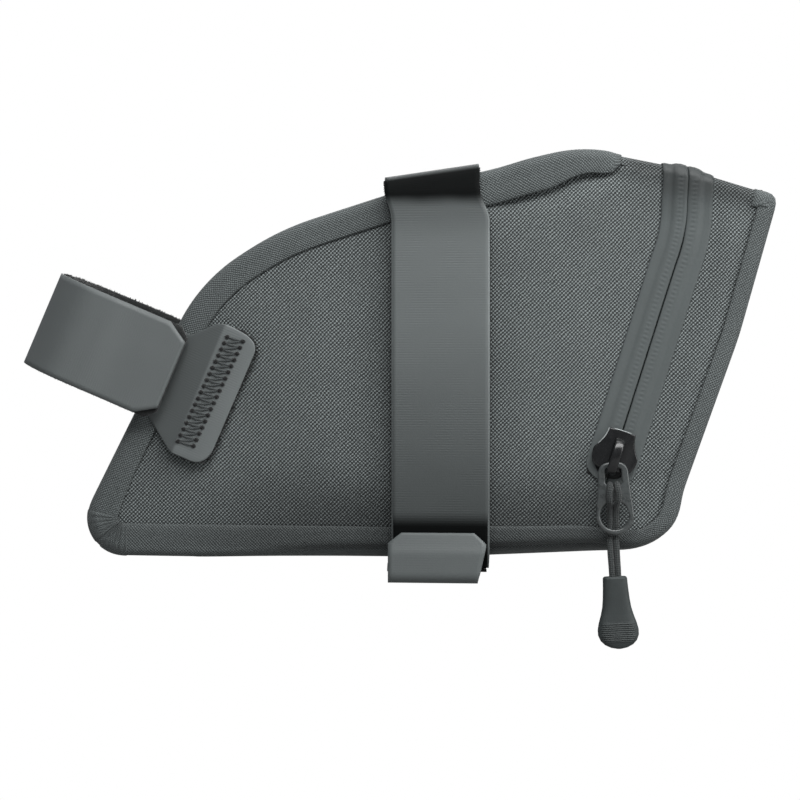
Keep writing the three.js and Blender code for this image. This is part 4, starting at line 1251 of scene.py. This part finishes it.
# The doubled cord's way: its middle and half its spread across the tab, down from the bar, and out. It
# comes up behind the tab, out of its slot, over its lower bar, back through its hole and down.
CORD_WAY = [
    (-0.1, 0.75, 8.4, -1.55),
    (-0.1, 0.8, 6.3, -1.3),
    (-0.1, 0.85, 5.1, 0.0),
    (-0.1, 0.9, 6.0, 1.35),
    (-0.15, 1.15, 7.4, 1.6),
    (-0.2, 1.05, 8.9, 1.3),
    (-0.3, 0.85, 10.0, 0.2),
    (-0.4, 0.75, 11.4, -0.9),
    (-0.5, 0.74, 14.4, -1.6),
    (-0.65, 0.72, 17.6, -1.6),
    (-0.7, 0.78, 21.5, -0.9),
    (-0.65, 0.74, 26.0, 0.1),
    (-0.6, 0.72, 29.6, 0.35),
]


def add_cord():
    strands = []
    for way in (-1, 1):
        path = [on_tab(middle + way * spread, down, out) for middle, spread, down, out in CORD_WAY]
        strands.append(tube(catmull_rom(path, 7), CORD_RADIUS, 12))
    blend = ("puller", "cord", (BAR.x, BAR.y, BAR.z - 13.6), (BAR.x, BAR.y, BAR.z - 17.4))
    piece("pull_cord_loop", joined(strands), CORD, blend, "pull_cord", "pull_cord", "cord_hitch", sharp=60)


def add_grip():
    """The moulded grip: flat on top, waisted, flared to a round end with fine ribs."""
    # Distance below the top and half width.
    profile = [(0, 2.6), (0.12, 2.86), (0.45, 3.02), (3, 3.15), (5.6, 3.35), (7.6, 3.6), (9.6, 4.1),
               (11.6, 4.75), (13.2, 5.1), (14.6, 5.08), (16.0, 4.5), (17.0, 3.5), (17.7, 2.1), (18.0, 0.6)]
    levels, half_widths = zip(*profile)
    rim, pitch = GRIP_RIBS["rim"], GRIP_RIBS["pitch"]
    top_x, _, top_height = on_tab(-0.75, GRIP["drop"])

    def on_grip(d, angle):
        width = float(np.interp(d, levels, half_widths))
        thick = GRIP["half_thickness"] * min(1, 0.45 + 0.55 * math.sqrt(max(GRIP["length"] - d, 0) / 3.2))
        thick = min(thick, 1.55 + 0.45 * smooth(d, 0, 0.5)) * (1 + 0.12 * smooth(d, 9, 14))
        across = width * squared(math.cos(angle), 0.62)
        out = thick * squared(math.sin(angle), 0.62)
        on_face = smooth(width - abs(across), rim * 0.5, rim) * (abs(math.sin(angle)) > 0.4)
        ribbed = smooth(d, 11.2, 11.7) * (1 - smooth(d, 16.0, 16.5))
        rib = GRIP_RIBS["height"] * math.cos(2 * math.pi * d / pitch) - 0.1
        out += math.copysign(rib, math.sin(angle)) * on_face * ribbed
        x = top_x + across * math.cos(GRIP["lean"]) + d * math.sin(GRIP["lean"])
        z = top_height + across * math.sin(GRIP["lean"]) * 0.6 - d * math.cos(GRIP["lean"])
        return (x, BAR.y - GRIP["out"] - out, z), (across, d, 0)

    rows = sorted(set(np.round(np.concatenate([np.linspace(0, GRIP["length"], 217), levels]), 3)))
    piece("cord_grip_moulding", closed_bar(rows, 40, on_grip), RUBBER, "cord", "grip_rubber", "cord_grip",
          away_from=(top_x, BAR.y, top_height - 9), sharp=50)


# ---------------------------------------------------------------- rail strap


def rail_path(grow):
    """The rail strap's round in the YZ plane, from the middle of its underside up the right side."""
    half, r = RAIL_LOOP["half"] + grow, RAIL_LOOP["radius"] + grow
    top, bottom = RAIL_LOOP["top"] + grow, RAIL_LOOP["bottom"] - grow
    quarter = math.pi / 2
    path = [(0.0, bottom)]
    path += arc(half - r, bottom + r, r, 3 * quarter, 4 * quarter, 8)
    path += arc(half - r, top - r, r, 0, quarter, 8)
    path += arc(r - half, top - r, r, quarter, 2 * quarter, 8)
    path += arc(r - half, bottom + r, r, 2 * quarter, 3 * quarter, 8)
    return dense(path + [(0.0, bottom)], 1.2)


def rail_place(y, z, x):
    """Follows the bag's taper, slopes the top run with the rails and bows the sides out a little."""
    on_top = smooth(z, -5.8, RAIL_LOOP["top"] + 1.5)
    shifted = smooth(z, -11.0, -3.0)
    x = RAIL_LOOP["middle"] + x * mix(1.0, 0.965, shifted) - 2.1 * shifted
    side = smooth(abs(y), RAIL_LOOP["half"] - 6, RAIL_LOOP["half"])
    swell = 1.4 * side * math.sin(math.pi * clamp((-2 - z) / 90))
    taper = half_width(x) / half_width(0.0)
    return (x, y * taper + math.copysign(swell, y), z + RAIL_STRAP_SLOPE * (x + 0.9) * on_top)


def rail_sheet(path, edges, closed=True):
    """A strap along a YZ path. edges(along, total, z) gives the x of its left and its right edge."""
    lengths = run_lengths(path)

    def at(row, share):
        (y, z), s = row
        left, right = edges(s, lengths[-1], z)
        x = mix(left, right, share)
        return rail_place(y, z, x), (x, s, z)

    rows = list(zip(path, lengths))
    return sheet(rows[:-1] if closed else rows, 20, at, closed)


def add_rail_strap():
    half = STRAP_WIDTH / 2

    def loop_edges(s, total, z):
        return (-half, half)

    piece("rail_strap_film", rail_sheet(rail_path(1.9), loop_edges), RAIL_STRAP, "bag", "strap_film",
          "rail_strap", away_from=BAG_CENTRE, thickness=STRAP_THICKNESS)
    piece("rail_strap_lining", rail_sheet(rail_path(0.95), loop_edges), PILE, "bag", "strap_pile",
          "rail_strap_pile", away_from=BAG_CENTRE, thickness=PILE_THICKNESS)

    tufts = []
    for edge, reach in ((-half, 0.35), (half, 0.5)):
        for layer in (0.5, 0.85):
            for way in (-1, 1):
                line = [rail_place(y, z, edge) for y, z in rail_path(layer) if z > -84 and y * way > 0]
                tufts.append(fringe(line, (math.copysign(1, edge), 0, 0), reach, 3.2, 0.2))
    piece("rail_strap_fuzz", joined(tufts), PILE, "bag", "strap_pile")
    use_material("rail_strap_hook", HOOK)


def add_rail_strap_end():
    """The loose end under the bag, which bends up the left side and has cut corners."""
    half, r, top = STRAP_WIDTH / 2, RAIL_TAB["bend"], RAIL_TAB["top"]
    y = -RAIL_LOOP["half"] - RAIL_TAB["grow"] - 0.6
    bottom = RAIL_LOOP["bottom"] - RAIL_TAB["grow"] - 1.1
    corner = [(y + r - r * math.sin(a), bottom + r - r * math.cos(a)) for a in np.linspace(0, math.pi / 2, 9)]
    line = [(-1.0, bottom + 2.2), (-5.0, bottom + 1.6), (-10, bottom + 0.4), (-15, bottom)]
    line = dense(line + corner + [(y + 0.2, top - 5), (y + 1.6, top)], 0.7)

    def tab_edges(s, total, z):
        cut = max(0.0, s - (total - 2.7)) / 2.7 * 3.4
        low = 2.0 * clamp((-92.0 - z) / 9.0)
        return (-half - 0.9 + cut, half - 0.9 - cut * 0.85 - low)

    peel = ("bag", "rail_tab", (0, -4, bottom), (0, -12, bottom))
    piece("rail_strap_end", rail_sheet(line, tab_edges, closed=False), RAIL_END, peel, "strap_film",
          "rail_strap_tab", away_from=BAG_CENTRE, thickness=STRAP_THICKNESS)
    piece("rail_strap_end_lining", rail_sheet(offset(line, 0.95), tab_edges, closed=False), PILE, peel,
          "strap_pile", "rail_tab_pile", away_from=BAG_CENTRE, thickness=0.7)


# ---------------------------------------------------------------- seatpost strap


def post_place(q, a, y):
    """A point in the seatpost strap's tilted frame: q along the strap to the rear, a up the seatpost."""
    c, s = math.cos(POST_TILT), math.sin(POST_TILT)
    return (q * c + a * s, y, -q * s + a * c)


def post_side_y(q, a, lift):
    return half_width(post_place(q, a, 0)[0]) + lift


def post_path(lift):
    """The strap's way from the right anchor round the seatpost to the loose end on the left."""
    right = [(-40.0, post_side_y(-40, POST_MIDDLE, 1.6)), (-48.0, post_side_y(-48, POST_MIDDLE, 1.8))]
    loop = [(POST["hinge"], 29.2), (-69, 26.2), (-76.6, 16), (-79.8, 0), (-78.6, -15), (-72.5, -25.2),
            (-64.0, -28.4)]
    left = [(q, -post_side_y(q, POST_MIDDLE, 4.6)) for q in (-57.0, -50.0, POST["tab_end"])]
    return offset(dense(catmull_rom(right + loop + left, 8), 0.8), lift)


def raised(y):
    return FAR_RUN_RAISED * smooth(y, 0, 30)


def post_sheet(lift, cut_length, cut_depth):
    """The strap as one sheet, with cut corners on its loose end."""
    line = post_path(lift)
    lengths = run_lengths(line)

    def at(row, share):
        (q, y), s = row
        cut = cut_depth * max(0.0, s - (lengths[-1] - cut_length)) / cut_length
        a = mix(POST["low"] + cut, POST["high"] - cut, share)
        return post_place(q, a + raised(y), y), (a, s, 0)

    return sheet(list(zip(line, lengths)), 18, at)


def add_post_strap():
    hinge_y = -28.6
    peel = ("bag", "post_tab",
            post_place(POST["hinge"] - 4, POST_MIDDLE, hinge_y + 1.5),
            post_place(POST["hinge"] + 3, POST_MIDDLE, hinge_y - 1.5))
    inner_side = post_place(-62, POST_MIDDLE, 0)
    piece("post_strap_film", post_sheet(0.5, 5.6, 3.45), STRAP_ENDS, peel, "strap_film", "post_strap",
          "post_strap_tab", away_from=inner_side, thickness=STRAP_THICKNESS)
    piece("post_strap_lining", post_sheet(-0.45, 2.6, 2.4), PILE, peel, "strap_pile", "post_strap_pile",
          "post_tab_pile", away_from=inner_side, thickness=PILE_THICKNESS)
    tufts = []
    for a, way, reach in ((POST["high"] - 0.1, 1, 0.5), (POST["low"] + 0.1, -1, 0.3)):
        for lift in (-0.5, -0.9):
            line = [post_place(q, a + raised(y), y) for q, y in post_path(lift)[:-7]]
            tufts.append(fringe(line, post_place(0, way, 0), reach, 3.4, 0.26))
    piece("post_strap_fuzz", joined(tufts), PILE, peel, "strap_pile")
    use_material("post_anchor_hook", HOOK)


def anchor_loop(strip_front):
    """The sewn patch in the tilted side view: a strip under the strap that flares to a rounded plate."""
    low, high, rear = ANCHOR["low"], ANCHOR["high"], ANCHOR["rear"]
    loop = [(strip_front, POST["low"] + 1), (-44.4, -83.6), (-35.9, low + 0.5)]
    loop += bezier((-34.6, low), (-32.5, low), (-29.2, low), 2)
    loop += bezier((-28.0, low + 0.2), (rear - 0.3, low + 1.4), (rear - 0.2, low + 5.2), 8)
    loop += bezier((rear, high - 4.4), (rear + 0.1, high - 0.9), (-29.6, high - 0.3), 8)
    loop += bezier((-32.4, high), (-35.6, high + 0.3), (-37.2, high - 1.2), 5)
    loop += [(-41.8, POST["high"] - 1.2), (strip_front, POST["high"] - 1.2)]
    return without_repeats(loop)


def anchor_lift(q):
    """The plate lies on the side panel as far as its crease, then turns in towards the band."""
    turned_in = max(ANCHOR["crease"] - q, 0) * 0.3
    return 2.6 - min(turned_in, 3.0) - 0.3 * smooth(q, -28, -25)


def stitches(on_patch):
    """A zigzag of thread across the patch and the needle holes at its corners."""
    last = STITCH["rows"] - 1
    left, right = [], []
    for k in range(STITCH["rows"]):
        a = mix(STITCH["low"], STITCH["high"], k / last)
        middle = STITCH["middle"] + mix(-STITCH["lean"], STITCH["lean"], k / last)
        left.append((middle - STITCH["half"], a))
        right.append((middle + STITCH["half"], a + 0.5))
    threads, holes = [], []
    for k, (q1, a1) in enumerate(left):
        for q2, a2 in right[k : k + 2]:
            path = [on_patch(mix(q1, q2, t), mix(a1, a2, t), 0.12 * math.sin(math.pi * t) - 0.05)
                    for t in np.linspace(0, 1, 7)]
            threads.append(tube(path, THREAD_RADIUS, 6))
        # Near-black discs at each needle hole: painted shade inside the holes.
        for q, a in ((q1, a1), right[k]):
            path = [on_patch(q + d, a + 0.3 * d, 0.02) for d in np.linspace(-0.6, 0.6, 5)]
            holes.append(tube(path, NEEDLE_HOLE_RADIUS, 8))
    return joined(threads), joined(holes)


def add_anchor(name, side, strip_front):
    """One sewn patch with its stitching and the pile that shows at its rear edge."""
    def place(q, a, out):
        higher = FAR_RUN_RAISED if side > 0 else 0.0
        return post_place(q, a + higher, side * post_side_y(q, a, anchor_lift(q) + 0.4 + out))

    loop = anchor_loop(strip_front)
    piece("post_anchor_" + name + "_patch", plate(loop, 0.9, place, 0.35), ANCHOR_STRAP, "bag", "strap_film",
          "post_anchor_" + name, away_from=BAG_CENTRE, sharp=80, thickness=0.75)
    edge = [place(q, a, -0.7) for q, a in loop if q > -33]
    piece("post_anchor_" + name + "_fuzz", fringe(edge, (1, 0, -0.35), 1.3, 4.0, 0.26), PILE, "bag",
          "strap_pile")
    threads, holes = stitches(place)
    piece("anchor_stitch_" + name + "_thread", threads, THREAD, "bag", "thread", "anchor_stitch_" + name,
          sharp=60)
    piece("anchor_needle_holes_" + name, holes, NEEDLE_HOLE, "bag", "thread", sharp=60)


# ---------------------------------------------------------------- studio


def aim(obj, place, direction):
    """Puts an object in its place and turns its view along a direction."""
    obj.location = place
    obj.rotation_mode = "QUATERNION"
    obj.rotation_quaternion = direction.to_track_quat("-Z", "Y")


def area_light(name, place, target, width, height, watts):
    data = bpy.data.lights.new(name, "AREA")
    data.shape = "RECTANGLE"
    data.size = width
    data.size_y = height
    data.energy = watts
    aim(add_object(name, data), place, Vector(target) - Vector(place))


def white_to_camera(tree, shown, lit, output):
    """Shows one shader to the camera, and lights the bag with the other."""
    path = tree.nodes.new("ShaderNodeLightPath")
    node = tree.nodes.new("ShaderNodeMixShader")
    tree.links.new(path.outputs["Is Camera Ray"], node.inputs[0])
    tree.links.new(lit.outputs[0], node.inputs[1])
    tree.links.new(shown.outputs[0], node.inputs[2])
    tree.links.new(node.outputs[0], tree.nodes[output].inputs[0])


def add_sky():
    world = bpy.data.worlds.new("studio")
    bpy.context.scene.world = world
    world.use_nodes = True
    tree = world.node_tree
    shown = tree.nodes["Background"]
    shown.inputs[0].default_value = (1, 1, 1, 1)
    lit = tree.nodes.new("ShaderNodeBackground")
    lit.inputs[0].default_value = (0.93, 0.96, 1, 1)
    lit.inputs[1].default_value = 0.2
    white_to_camera(tree, shown, lit, "World Output")


def add_floor():
    floor_z = cad_box[0].z - 0.004
    size = 3.0
    mesh = bpy.data.meshes.new("floor")
    corners = [(-size, -size, floor_z), (size, -size, floor_z), (size, size, floor_z), (-size, size, floor_z)]
    mesh.from_pydata(corners, [], [(0, 1, 2, 3)])
    material = bpy.data.materials.new("pale_floor")
    material.use_nodes = True
    tree = material.node_tree
    matt = tree.nodes["Principled BSDF"]
    matt.inputs["Base Color"].default_value = (0.25, 0.25, 0.25, 1)
    matt.inputs["Roughness"].default_value = 0.9
    glow = tree.nodes.new("ShaderNodeEmission")
    glow.inputs[0].default_value = (1, 1, 1, 1)
    glow.inputs[1].default_value = 1.0
    white_to_camera(tree, glow, matt, "Material Output")
    mesh.materials.append(material)
    add_object("floor", mesh)


def add_camera():
    data = bpy.data.cameras.new("camera")
    data.lens = 150
    data.sensor_width = 36
    picture_width = 0.2  # the picture spans this at the bag's left side
    distance = picture_width * data.lens / data.sensor_width
    elevation = math.radians(0.8)
    centre = Vector((-0.00925, -0.04, -0.05575))
    back = Vector((0, -math.cos(elevation), math.sin(elevation)))
    camera = add_object("camera", data)
    aim(camera, centre + back * distance, -back)
    bpy.context.scene.camera = camera


def add_studio():
    add_sky()
    add_floor()
    target = (0.0, 0.0, -0.045)
    area_light("key", (0.16, -0.45, 0.42), (0.0, 0.0, -0.02), 0.8, 0.3, 4.75)
    area_light("right_fill", (1.1, -0.6, 0.3), target, 0.5, 0.8, 5.0)
    area_light("top", (0.05, 0.1, 1.1), target, 1.2, 0.8, 6.0)
    area_light("rear", (0.2, 1.1, 0.5), target, 1.2, 0.6, 6.0)
    add_camera()
    bpy.context.scene.view_settings.view_transform = "Standard"


add_gussets()
add_side_panels()
add_top_panel()
add_lid_panel()
add_corner_folds()
add_zip()
add_slider()
add_pull_tab()
add_cord()
add_grip()
add_rail_strap()
add_rail_strap_end()
add_post_strap()
add_anchor("left", -1, POST["hinge"] + 0.5)
add_anchor("right", 1, -50)
use_material("base_stiffener", BOARD)
add_studio()
